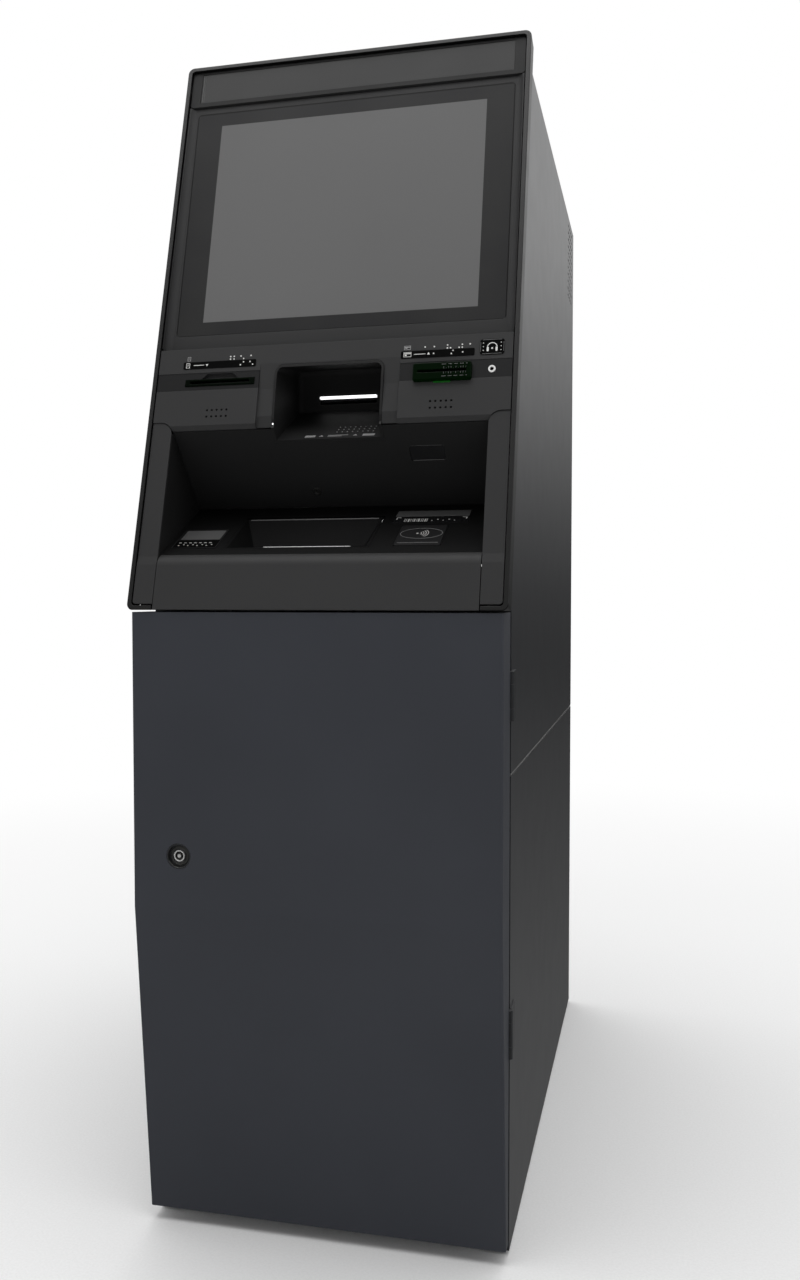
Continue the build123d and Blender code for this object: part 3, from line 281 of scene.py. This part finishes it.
# grain is its noise's scale, and grain_height is in metres
FINISHES = {
    # the record's slots
    "door_paint": dict(color=(0.0342, 0.0375, 0.0472), rough=0.50, grain=900, grain_height=0.00004,
                       edge_wear_and_glint=1.9),
    "cabinet_paint": dict(color=(0.025, 0.026, 0.0285), rough=0.36, grain=900, grain_height=0.00003,
                          edge_wear_and_glint=1.9, rough_range=0.008, tone=0.03),
    "frame_plastic": dict(color=grey(0.003), rough=0.42, grain=2200, grain_height=0.00003, edge_wear_and_glint=1.7),
    "console_plastic": dict(color=(0.033, 0.033, 0.0335), rough=0.50, specular=0.2, grain=2200,
                            grain_height=0.00004, edge_wear_and_glint=1.6),
    "pocket_plastic": dict(color=(0.012, 0.012, 0.0122), rough=0.55, specular=0.25, grain=2200,
                           grain_height=0.00004, edge_wear_and_glint=1.6),
    # shelf_plastic is darker than the pocket's plastic as a painted shade, for the shelf that little light reaches
    "shelf_plastic": dict(color=(0.004, 0.004, 0.0041), rough=0.55, specular=0.12, grain=2200,
                          grain_height=0.00004, edge_wear_and_glint=1.8),
    "trim_plastic": dict(color=(0.012, 0.012, 0.0125), rough=0.48, specular=0.18, grain=1800,
                         grain_height=0.00002, edge_wear_and_glint=1.6),
    "topper_panel": dict(color=grey(0.047), rough=0.38, specular=0.15, grain=1500, grain_height=0.00001,
                         edge_wear_and_glint=1.3),
    "display": dict(color=(0.05, 0.05, 0.052), rough=0.35, grain=1200, grain_height=0.00002),
    # green_bezel and card_green: their strong edge lightening paints glints along the bezels' edges
    "green_bezel": dict(color=(0.0004, 0.0020, 0.0005), rough=0.12, grain=600, grain_height=0.00001,
                        coat=0.03, specular=0.06, edge_wear_and_glint=3.0),
    "card_green": dict(color=(0.0003, 0.0030, 0.0004), rough=0.14, grain=600, grain_height=0.00001,
                       coat=0.03, specular=0.06, edge_wear_and_glint=3.0, emission=((0.001, 0.30, 0.003), 0.005)),
    "slot_light": dict(color=grey(0.95), rough=0.30, grain=900, grain_height=0.00001, edge_wear_and_glint=1.0,
                       emission=(grey(1.0), 1.5)),
    "label_black": dict(color=grey(0.0025), rough=0.60, specular=0.03, grain=1500, grain_height=0.00001,
                        edge_wear_and_glint=2.5),
    "window_dark": dict(color=(0.010, 0.010, 0.0105), rough=0.16, specular=0.2, grain=800,
                        grain_height=0.00001, edge_wear_and_glint=2.5),
    "lock_steel": dict(color=(0.38, 0.38, 0.37), rough=0.34, grain=700, grain_height=0.00004, metallic=1.0,
                       stretch=(1, 1, 8), edge_wear_and_glint=1.4),
    "jack_ring": dict(color=(0.78, 0.78, 0.77), rough=0.25, grain=900, grain_height=0.00001, edge_wear_and_glint=1.1),
    "hinge_steel": dict(color=(0.020, 0.021, 0.023), rough=0.40, grain=1100, grain_height=0.00004,
                        edge_wear_and_glint=2.4),
    "safe_paint": dict(color=(0.26, 0.27, 0.28), rough=0.42, grain=500, grain_height=0.00010, edge_wear_and_glint=1.4),
    "zinc_steel": dict(color=(0.46, 0.47, 0.47), rough=0.38, grain=60, grain_height=0.00005, metallic=1.0,
                       edge_wear_and_glint=1.3, tone=0.14),
    "module_plastic": dict(color=(0.045, 0.046, 0.050), rough=0.55, grain=1800, grain_height=0.00005,
                           edge_wear_and_glint=1.7),
    "cassette_plastic": dict(color=(0.13, 0.14, 0.15), rough=0.55, grain=1500, grain_height=0.00006,
                             edge_wear_and_glint=1.5),
    "rubber": dict(color=grey(0.016), rough=0.75, grain=1300, grain_height=0.00006, edge_wear_and_glint=1.8),
    "paper": dict(color=(0.80, 0.80, 0.77), rough=0.85, grain=1600, grain_height=0.00005, edge_wear_and_glint=0.9,
                  tone=0.04),
    "transport_alloy": dict(color=(0.52, 0.53, 0.54), rough=0.32, grain=500, grain_height=0.00003,
                            metallic=1.0, stretch=(8, 1, 1), edge_wear_and_glint=1.2),
    "shutter_plastic": dict(color=(0.009, 0.009, 0.0092), rough=0.60, specular=0.06, grain=1800,
                            grain_height=0.00003, edge_wear_and_glint=1.8),
    # prints, films, painted highlights, lights and other shades on the smaller pieces
    "print_white": dict(color=(0.72, 0.72, 0.70), rough=0.45, grain=1500, grain_height=0.00001, tone=0.03),
    "print_grey": dict(color=grey(0.30), rough=0.45, grain=1500, grain_height=0.00001),
    # the pad's film, and also the pale strips that paint highlights on edges
    "pad_film_and_highlight": dict(color=grey(0.105), rough=0.35, grain=1400, grain_height=0.00001, tone=0.08),
    "green_glow": dict(color=(0.001, 0.05, 0.002), rough=0.3, grain=900, grain_height=0.00001,
                       emission=((0.01, 1.0, 0.03), 0.02)),
    "topper_rim": dict(color=(0.017, 0.017, 0.0172), rough=0.50, specular=0.2, grain=2200,
                       grain_height=0.00004, edge_wear_and_glint=1.8),
    "lock_face": dict(color=(0.46, 0.46, 0.45), rough=0.35, grain=900, grain_height=0.00002, metallic=0.15),
    # a pale, part metallic strip that paints the seam's highlight
    "seam_highlight": dict(color=grey(0.36), rough=0.35, grain=700, grain_height=0.00002, metallic=0.5,
                       stretch=(1, 8, 1)),
    "led_white": dict(color=grey(0.9), rough=0.3, grain=900, grain_height=0.00001,
                      emission=(grey(1.0), 2.0)),
    "strip_light": dict(color=grey(0.6), rough=0.3, grain=900, grain_height=0.00001,
                        emission=(grey(1.0), 0.35)),
}
finishes = {name: finish_surface(name, **values) for name, values in FINISHES.items()}
finishes["screen_glass"] = glass_surface()
NODE_SHADE = {"topper_housing": "topper_rim"}


def dress_cad_nodes():
    """Every CAD node takes the finish of its slot in the record, or its own shade of it."""
    for part in frame["record"]["subparts"]:
        node = NODES[part["node"]]
        material = finishes[NODE_SHADE.get(part["node"], part["material_slot"])]
        node.data.materials.clear()
        node.data.materials.append(material)
        for polygon in node.data.polygons:
            polygon.material_index = 0


dress_cad_nodes()


# ---- flat outlines, in millimetres on a face ---------------------------------
def oval_points(x, u, across, up, start, end, steps):
    turns = [math.radians(start + (end - start) * step / steps) for step in range(steps + 1)]
    return [(x + across * math.cos(turn), u + up * math.sin(turn)) for turn in turns]


def arc_points(x, u, radius, start, end, steps):
    return oval_points(x, u, radius, radius, start, end, steps)


def rectangle(x0, x1, u0, u1):
    return [(x0, u0), (x1, u0), (x1, u1), (x0, u1)]


def rounded(x0, x1, u0, u1, radius, steps=5):
    corners = [(x1 - radius, u1 - radius, 0), (x0 + radius, u1 - radius, 90),
               (x0 + radius, u0 + radius, 180), (x1 - radius, u0 + radius, 270)]
    return [point for x, u, turn in corners for point in arc_points(x, u, radius, turn, turn + 90, steps)]


def disc(x, u, radius, sides=14):
    return arc_points(x, u, radius, 0, 360 * (sides - 1) / sides, sides - 1)


def band(x, u, inner, outer, start, end, steps=16):
    return arc_points(x, u, outer, start, end, steps) + arc_points(x, u, inner, end, start, steps)


def ring(x, u, inner, outer):
    """Two half rings, so that neither outline holds a hole."""
    return [band(x, u, inner, outer, turn, turn + 180) for turn in (0, 180)]


def oval_ring(x, u, across, up, width, steps=40):
    """Two half rings, for the same reason."""
    halves = []
    for start in (0, 180):
        outer = oval_points(x, u, across, up, start, start + 180, steps)
        inner = oval_points(x, u, across - width, up - width, start + 180, start, steps)
        halves.append(outer + inner)
    return halves


def outline_frame(left, right, low, high, width):
    """The two sides and the top edge of a box, as thin bars."""
    return [rectangle(left, left + width, low, high), rectangle(right - width, right, low, high),
            rectangle(left, right, high - width, high)]


def slip_icon(x, u, size):
    """A paper slip with a toothed lower edge and two lines on it."""
    left, right = x - size * 0.36, x + size * 0.36
    low, high = u - size / 2, u + size / 2
    tooth = size * 0.24
    teeth = [[(left + tooth * k, low), (left + tooth * (k + 1), low), (left + tooth * (k + 0.5), low + 1.4)]
             for k in range(3)]
    lines = [rectangle(left + 1.6, right - 1.6, low + size * part, low + size * part + 0.6)
             for part in (0.4, 0.62)]
    return outline_frame(left, right, low, high, 0.7) + teeth + lines


def card_icon(x, u, size):
    """A card with a stripe and a chip."""
    left, right = x - size * 0.78, x + size * 0.78
    low, high = u - size / 2, u + size / 2
    foot = rectangle(left, right, low, low + 0.6)
    stripe = rectangle(left, right, high - 2.6, high - 1.4)
    chip = rectangle(left + 1.6, left + 4.2, low + 1.5, low + 3.4)
    return outline_frame(left, right, low, high, 0.6) + [foot, stripe, chip]


def arrow(x, u, size, turn=0.0):
    """A plain arrow head."""
    return arc_points(x, u, size, turn + 90, turn + 330, 2)


def dots(places, radius):
    return [disc(x, u, radius, 12) for x, u in places]


def dot_rows(columns, rows):
    return [(x, u) for x in columns for u in rows]


# ---- pieces ------------------------------------------------------------------
def piece_from(name, shape, material, body):
    """Turns the mesh code's shape into a piece that rides on its body."""
    bmesh.ops.recalc_face_normals(shape, faces=shape.faces)
    data = bpy.data.meshes.new(name)
    shape.to_mesh(data)
    shape.free()
    piece = bpy.data.objects.new(name, data)
    bpy.context.scene.collection.objects.link(piece)
    piece.data.materials.append(finishes[material])
    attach(piece, body)


def prisms(name, face, outlines, low, high, material, body="fascia"):
    """Closed thin solids on a face, from low to high above it, in one piece."""
    shape = bmesh.new()
    for outline in outlines:
        lower = [shape.verts.new(face.point(x, u, low)) for x, u in outline]
        upper = [shape.verts.new(face.point(x, u, high)) for x, u in outline]
        shape.faces.new(lower[::-1])
        shape.faces.new(upper)
        count = len(outline)
        for index in range(count):
            following = (index + 1) % count
            shape.faces.new((lower[index], lower[following], upper[following], upper[index]))
    piece_from(name, shape, material, body)


# how far out of a face its details start, and how thick they are
LABEL_TOP = -0.4         # the label strips over the slots
SKIN_TOP = -1.0          # the console moulding round them
PLATE_TOP = -0.2         # the headphone plate
LENS_TOP = -4.8          # the topper's panel
CARD_TOP = 5.0           # the card bezel
RECESS_TOP = -0.4        # the note recess's floor
PAD_TOP = 0.8            # the left key pad
READER_TOP = 1.6         # the contactless reader
WINDOW_TOP = -0.3        # the barcode window
LOCK_TOP = -3.0          # the door lock's core
PRINT = 0.15
RAISED = 0.5
DOT = 1.0                # radius
LABEL_ROW = 336.8        # the middle of the label strips, up the fascia
SMALL_ICON_ROW = 346.6


def receipt_label():
    """A slip, an arrow and dots on the strip, and raised dots and a small slip above it."""
    marks = slip_icon(-197.0, LABEL_ROW, 7.4) + [rectangle(-189, -174, 336.4, 337.2)]
    marks += [arrow(-170, LABEL_ROW, 2.2, 180)]
    marks += dots(dot_rows((-122.5, -105.5), (334.6,)) + dot_rows((-118.5, -109.5), (338.6,)), DOT)
    prisms("receipt_label_print", FASCIA, marks, LABEL_TOP, LABEL_TOP + PRINT, "print_white")
    places = dot_rows((-137.5, -132.5), (343.6, 347.4)) + [(-123, 347.4), (-119, 343.6), (-109, 347.4)]
    raised = dots(places, DOT)
    prisms("receipt_tactile_dots", FASCIA, raised, SKIN_TOP, SKIN_TOP + RAISED, "print_white")
    prisms("receipt_small_icon", FASCIA, slip_icon(-196.5, SMALL_ICON_ROW, 6.4), SKIN_TOP, SKIN_TOP + PRINT,
           "print_grey")


def card_label():
    """A card, an arrow and dots on the strip, and raised dots and a small card above it."""
    marks = card_icon(103.5, LABEL_ROW, 6.6) + [rectangle(112, 127, 336.4, 337.2)]
    marks += [arrow(131, LABEL_ROW, 2.2)]
    marks += dots([(137.5, 336.8), (160.5, 335.4), (175.0, 336.8), (162.5, 339.6)], DOT)
    prisms("card_label_print", FASCIA, marks, LABEL_TOP, LABEL_TOP + PRINT, "print_white")
    raised = dots([(126, 346.4), (138, 346.4), (155, 347.6), (155, 343.6), (159, 343.6), (170, 343.6),
                   (174, 343.6), (174, 347.6), (184, 347.6)], DOT)
    prisms("card_tactile_dots", FASCIA, raised, SKIN_TOP, SKIN_TOP + RAISED, "print_white")
    prisms("card_small_icon", FASCIA, card_icon(103.0, SMALL_ICON_ROW, 5.6), SKIN_TOP, SKIN_TOP + PRINT,
           "print_grey")


def headphone_plate():
    """The headphone pictogram, and the plate's paler rim."""
    x, up = 212.3, 342.4
    marks = [band(x, up - 1.2, 5.6, 6.7, 8, 172), disc(x, up - 2.4, 1.2)]
    for side in (-1, 1):
        cup = x + side * 5.6
        marks.append(rounded(cup - 1.3, cup + 1.3, up - 6.6, up - 0.6, 1.1))
        for row in range(3):
            marks.append(disc(x + side * 11.2, up - 5 + row * 5, 0.65, 10))
    prisms("headphone_pictogram", FASCIA, marks, PLATE_TOP, PLATE_TOP + PRINT, "print_white")
    rim = [rounded(200, 224.6, low, low + 0.6, 0.28) for low in (332.3, 351.4)]
    rim += [rounded(left, left + 0.6, 335.5, 348.8, 0.28) for left in (197.4, 226.6)]
    prisms("headphone_plate_rim", FASCIA, rim, PLATE_TOP, PLATE_TOP + PRINT, "pad_film_and_highlight")


def topper_pale_lines():
    """Two fine pale lines at the left end of the topper's panel."""
    lines = [rectangle(-222.4, -221.8, 748, 789.5), rectangle(-219.8, -219.4, 748, 789.5)]
    prisms("topper_pale_lines", FASCIA, lines, LENS_TOP, LENS_TOP + PRINT, "pad_film_and_highlight")


def card_slot():
    """A light under the slot, pale raised ribs and lines on its bezel's right half that paint its glints and
    highlights, and the throat's lips.
    """
    prisms("card_slot_glow", FASCIA, [rounded(139, 161, 296.6, 298.2, 0.7)], -1.4, 0.6, "green_glow")
    # pale raised ribs and edge lines: painted glints and highlights on the bezel
    pitch, ribs = 3.1, 10
    lines = [rectangle(152.6 + pitch * k, 153.2 + pitch * k, low, low + 2.2)
             for k in range(ribs) for low in (306.0, 313.1)]
    lines += [rounded(150, 183, low, low + 0.6, 0.28) for low in (302.2, 318.4)]
    prisms("card_bezel_glint_lines", FASCIA, lines, CARD_TOP - 0.2, CARD_TOP + 0.25, "pad_film_and_highlight")
    lips = [rectangle(119, 181.4, low, low + 0.6) for low in (308.5, 312.1)]
    prisms("card_slot_throat", FASCIA, lips, -6, CARD_TOP - 0.4, "green_bezel")


def headphone_socket():
    """A dark lining and floor in the bore that paint the shade inside it, and a dark ring on its collar."""
    x = JACK["pos_m"][0] / MM
    prisms("jack_bore_shade_lining", FASCIA, ring(x, JACK_UP, 1.74, 1.79), -12.9, -0.9, "label_black")
    prisms("jack_bore_shade_floor", FASCIA, [disc(x, JACK_UP, 1.7)], -13.0, -12.6, "label_black")
    prisms("jack_collar_ring", FASCIA, ring(x, JACK_UP, 1.9, 2.5), -0.65, -0.5, "label_black")


def note_recess():
    """A status light, marks along the floor's front edge and rows of raised dots."""
    prisms("recess_status_light", FASCIA, [disc(-72.0, 251.5, 0.8)], -7.2, -5.4, "led_white")
    marks = [rounded(-34, -20, 5.0, 12.0, 0.8), arrow(-12, 8.5, 3.4), rectangle(-3, 24, 9.6, 11.0),
             rectangle(-3, 16, 6.2, 7.6), arrow(34, 8.5, 3.4), rounded(44, 60, 5.0, 12.0, 0.8)]
    prisms("recess_floor_marks", RECESS_FLOOR, marks, RECESS_TOP, 0.0, "print_grey")
    places = dot_rows([6 + 7 * k for k in range(8)], (22, 31, 40))
    prisms("recess_floor_dots", RECESS_FLOOR, dots(places, 0.9), RECESS_TOP, 0.3, "print_grey")


SPEAKER_X, SPEAKER_UP = 150.0, 267.5


def speaker_hole_shade(name, middle):
    """Black plugs in one group of speaker holes, just below the moulding's face, that paint the shade inside the
    holes.
    """
    pitch = 6.8
    columns = [middle + (column - 2) * pitch for column in range(5)]
    holes = dot_rows(columns, (SPEAKER_UP - 4.5, SPEAKER_UP + 4.5))
    prisms(name, FASCIA, dots(holes, 1.48), -9.5, -1.6, "label_black")


def door_lock():
    """A black dish and rim in the door, round the bright face of the tubular core."""
    place = JOINTS["door_lock_turn"]["pos_m"]
    x, up = place[0] / MM, place[2] / MM
    prisms("door_lock_dish", DOOR, ring(x, up, 9.2, 14.5), -6.5, -6.2, "hinge_steel", body="front_door")
    prisms("door_lock_rim", DOOR, ring(x, up, 14.7, 16.3), -0.5, -0.2, "hinge_steel", body="front_door")
    face = ring(x, up, 5.7, 7.3) + [disc(x, up, 2.3, 16)]
    prisms("door_lock_face", DOOR, face, LOCK_TOP, LOCK_TOP + 0.2, "lock_face", body="door_lock")
    prisms("door_lock_bezel", DOOR, ring(x, up, 7.4, 8.7), LOCK_TOP, LOCK_TOP + 0.2, "hinge_steel",
           body="door_lock")


def seam_highlight_strip(name, left):
    """A pale strip in the seam of one pair of side covers, a painted highlight along the seam."""
    strip = rectangle(left, left + 1.4, 73, 985)
    prisms(name, SEAM, [strip], 614.4, 615.6, "seam_highlight", body="cabinet")


def sensor_window():
    """Paler strips along the lower and upper edges: painted highlights."""
    edges = [rounded(106.5, 147.5, -63.3, -62.5, 0.35), rounded(106.5, 147.5, -40.4, -40.0, 0.18)]
    prisms("sensor_window_edge_highlights", WALL, edges, -1.3, -1.0, "pad_film_and_highlight")


def cash_tray():
    """A paler strip along the shutter's top edge, a painted highlight, and the light at the tray's fold."""
    prisms("shutter_edge_highlight", SHUTTER, [rounded(-123, 56.5, 45.2, 46.9, 0.7)], -0.6, -0.32, "pad_film_and_highlight",
           body="cash_shutter")
    prisms("tray_fold_light", SHELF, [rectangle(-95, 25, FOLD_UP - 3.6, FOLD_UP - 2.0)], FOLD_OUT + 0.4,
           FOLD_OUT + 1.6, "strip_light")


def key_pad():
    """The left pad: a film above, and a dark strip with dashes and dots below."""
    prisms("left_pad_film", SHELF, [rounded(-200.6, -145.4, 57.8, 85.8, 1.2)], -0.2, 0.55, "pad_film_and_highlight")
    prisms("left_pad_dark", SHELF, [rounded(-202.5, -143.5, 32.5, 55.0, 1.5)], PAD_TOP, PAD_TOP + 0.12,
           "label_black")
    marks = [rectangle(-198 + 7 * k, -194.5 + 7 * k, 46, 47.4) for k in range(7)]
    marks += dots([(-196 + 6.5 * k, 38.5 + 2.5 * (k % 2)) for k in range(8)], DOT)
    prisms("left_pad_marks", SHELF, marks, PAD_TOP + 0.12, PAD_TOP + 0.12 + PRINT, "print_white")


def barcode_window():
    """A pale strip, two corner marks, a row of bars that encodes nothing, and dots."""
    prisms("scanner_light_strip", SHELF, [rounded(79.5, 177.5, 123.5, 141.5, 1.0)], WINDOW_TOP, 0.0,
           "pad_film_and_highlight")
    marks = []
    for x, side in ((81.5, 1), (175.5, -1)):
        marks.append([(x, 120.5), (x + side * 6, 120.5), (x + side * 6, 119.3), (x + side * 1.2, 119.3),
                      (x + side * 1.2, 114.5), (x, 114.5)])
    bar = 93.0
    for step, width in enumerate((1.2, 0.7, 2.0, 0.8, 0.8, 1.6, 0.7, 2.2, 1.0, 0.7, 1.6, 0.8)):
        marks.append(rectangle(bar, bar + width, 107, 116))
        bar += width + 1.3 + 0.5 * (step % 2)
    marks += dots([(130 + 7.5 * k, 110 + 3.2 * (k % 2)) for k in range(5)], DOT)
    prisms("scanner_marks", SHELF, marks, WINDOW_TOP, WINDOW_TOP + PRINT, "print_white")


def contactless_reader():
    """An oval ring round four waves, and a line below them."""
    prisms("contactless_ring", SHELF, oval_ring(124.8, 66.0, 27.5, 15.5, 0.5), READER_TOP,
           READER_TOP + PRINT, "print_grey")
    waves = [band(121.0, 66.0, radius, radius + 0.8, -48, 48, 10) for radius in (3.6, 6.6, 9.6, 12.6)]
    waves.append(disc(119.6, 66.0, 1.5))
    prisms("contactless_symbol", SHELF, waves, READER_TOP, READER_TOP + PRINT, "print_white")
    prisms("reader_keyline", SHELF, [rectangle(98.5, 151, 38.2, 38.8)], READER_TOP, READER_TOP + PRINT,
           "print_grey")


def speaker(name, middle):
    """A round basket with a dished cone, open to the front, behind one group of speaker holes."""
    profile = [(17.5, -13.0), (17.5, -15.5), (14.5, -15.5), (12.0, -18.5), (5.0, -23.0), (2.5, -21.5),
               (0.01, -20.8), (0.01, -30.0), (9.0, -30.0), (9.0, -25.0), (17.5, -18.5)]
    sides = 36
    shape = bmesh.new()
    loops = []
    for radius, out in profile:
        circle = disc(middle, SPEAKER_UP, radius, sides)
        loops.append([shape.verts.new(FASCIA.point(x, u, out)) for x, u in circle])
    for here, there in zip(loops, loops[1:] + loops[:1]):
        for k in range(sides):
            shape.faces.new((here[k], here[(k + 1) % sides], there[(k + 1) % sides], there[k]))
    bmesh.ops.remove_doubles(shape, verts=shape.verts, dist=0.00003)
    for side in shape.faces:
        side.smooth = True
    piece_from(name, shape, "module_plastic", "fascia")


receipt_label()
card_label()
headphone_plate()
topper_pale_lines()
card_slot()
headphone_socket()
note_recess()
speaker_hole_shade("left_speaker_hole_shade", -SPEAKER_X)
speaker_hole_shade("right_speaker_hole_shade", SPEAKER_X)
door_lock()
seam_highlight_strip("left_seam_highlight_strip", -239.8)
seam_highlight_strip("right_seam_highlight_strip", 238.4)
sensor_window()
cash_tray()
key_pad()
barcode_window()
contactless_reader()
speaker("left_speaker", -SPEAKER_X)
speaker("right_speaker", SPEAKER_X)


# ---- studio ------------------------------------------------------------------
def pale_floor():
    """A round floor, pure white far from the machine."""
    shape = bmesh.new()
    bmesh.ops.create_circle(shape, cap_ends=True, radius=40.0, segments=96)
    data = bpy.data.meshes.new("floor")
    shape.to_mesh(data)
    shape.free()
    floor = bpy.data.objects.new("floor", data)
    bpy.context.scene.collection.objects.link(floor)
    graph = Graph("floor")
    length = graph.add("ShaderNodeVectorMath", operation="LENGTH")
    graph.link(graph.place, length.inputs[0])
    fade = graph.add("ShaderNodeMapRange", interpolation_type="SMOOTHSTEP")
    graph.link(length.outputs["Value"], fade.inputs["Value"])
    fade.inputs["From Min"].default_value = 0.7
    fade.inputs["From Max"].default_value = 3.4
    white = graph.add("ShaderNodeEmission")
    diffuse = graph.add("ShaderNodeBsdfDiffuse")
    grain = graph.mix(graph.spread(graph.noise(300.0), 0, 1), (0.86, 0.86, 0.86, 1), (0.90, 0.90, 0.90, 1))
    graph.link(grain, diffuse.inputs["Color"])
    blend = graph.add("ShaderNodeMixShader")
    graph.link(fade.outputs["Result"], blend.inputs[0])
    graph.link(diffuse.outputs[0], blend.inputs[1])
    graph.link(white.outputs[0], blend.inputs[2])
    graph.link(blend.outputs[0], graph.tree.nodes["Material Output"].inputs["Surface"])
    floor.data.materials.append(graph.material)
    floor.visible_glossy = False


# the sky's brightness as a light, from straight down (0) over the horizon (0.5) to straight up (1)
SKY_LEVELS = [(0.0, 0.25), (0.33, 0.20), (0.435, 0.08), (0.467, 0.02), (0.50, 0.03), (0.535, 0.14),
              (0.565, 0.31), (0.61, 0.64), (0.645, 0.95), (1.0, 1.0)]
FRONT_LEVEL = 0.30       # how much of it is left in front of the machine


def studio_sky():
    """White to the eye; as a light it is bright overhead, and dimmer near the horizon."""
    world = bpy.data.worlds.new("studio")
    bpy.context.scene.world = world
    world.use_nodes = True
    tree = world.node_tree
    background = tree.nodes["Background"]
    direction = tree.nodes.new("ShaderNodeTexCoord")
    split = tree.nodes.new("ShaderNodeSeparateXYZ")
    tree.links.new(direction.outputs["Generated"], split.inputs[0])

    shift = tree.nodes.new("ShaderNodeMath")
    shift.operation = "MULTIPLY_ADD"
    shift.inputs[1].default_value = 0.5
    shift.inputs[2].default_value = 0.5
    tree.links.new(split.outputs["Z"], shift.inputs[0])
    ramp = tree.nodes.new("ShaderNodeValToRGB")
    tree.links.new(shift.outputs[0], ramp.inputs[0])
    while len(ramp.color_ramp.elements) < len(SKY_LEVELS):
        ramp.color_ramp.elements.new(0.5)
    for element, (place, level) in zip(ramp.color_ramp.elements, SKY_LEVELS):
        element.position = place
        element.color = (level, level, level, 1)

    frontness = tree.nodes.new("ShaderNodeMapRange")
    frontness.interpolation_type = "SMOOTHSTEP"
    frontness.inputs["From Min"].default_value = -0.85
    frontness.inputs["From Max"].default_value = 0.10
    frontness.inputs["To Min"].default_value = FRONT_LEVEL
    frontness.inputs["To Max"].default_value = 1.0
    tree.links.new(split.outputs["Y"], frontness.inputs["Value"])
    dimmed = tree.nodes.new("ShaderNodeVectorMath")
    dimmed.operation = "SCALE"
    tree.links.new(ramp.outputs["Color"], dimmed.inputs[0])
    tree.links.new(frontness.outputs["Result"], dimmed.inputs["Scale"])

    rays = tree.nodes.new("ShaderNodeLightPath")
    mixed = tree.nodes.new("ShaderNodeMix")
    mixed.data_type = "RGBA"
    tree.links.new(rays.outputs["Is Camera Ray"], mixed.inputs["Factor"])
    tree.links.new(dimmed.outputs[0], mixed.inputs["A"])
    mixed.inputs["B"].default_value = (1, 1, 1, 1)
    tree.links.new(mixed.outputs["Result"], background.inputs["Color"])


def aim(thing, place, target):
    thing.location = place
    thing.rotation_euler = (Vector(target) - Vector(place)).to_track_quat("-Z", "Y").to_euler()


def softbox(name, place, target, width, height, power, glossy=True):
    light = bpy.data.lights.new(name, "AREA")
    light.shape = "RECTANGLE"
    light.size = width
    light.size_y = height
    light.energy = power
    lamp = bpy.data.objects.new(name, light)
    bpy.context.scene.collection.objects.link(lamp)
    aim(lamp, place, target)
    lamp.visible_camera = False
    lamp.visible_glossy = glossy


EYE_PLACE = (0.42433, -1.80678, 0.83888)
EYE_DOWN = 2.248         # degrees below level
EYE_TURN = 13.287        # degrees to the left of straight ahead
LENS = 31.40             # millimetres, for a 36 mm sensor


def camera():
    data = bpy.data.cameras.new("camera")
    data.sensor_width = 36.0
    data.lens = LENS
    eye = bpy.data.objects.new("camera", data)
    bpy.context.scene.collection.objects.link(eye)
    eye.location = EYE_PLACE
    eye.rotation_euler = (math.radians(90 - EYE_DOWN), 0, math.radians(EYE_TURN))
    bpy.context.scene.camera = eye


pale_floor()
studio_sky()
softbox("overhead", (0, 0.8, 4.2), (0, 0.2, 0), 3.0, 3.0, 42.0)
softbox("overhead_front", (0, -1.7, 4.0), (0, -1.7, 0), 3.4, 1.6, 42.0)
softbox("floor_bounce", (0, -1.35, 0.02), (0, -0.4, 0.35), 2.2, 0.7, 4.0, glossy=False)
camera()
bpy.context.scene.view_settings.view_transform = "Standard"
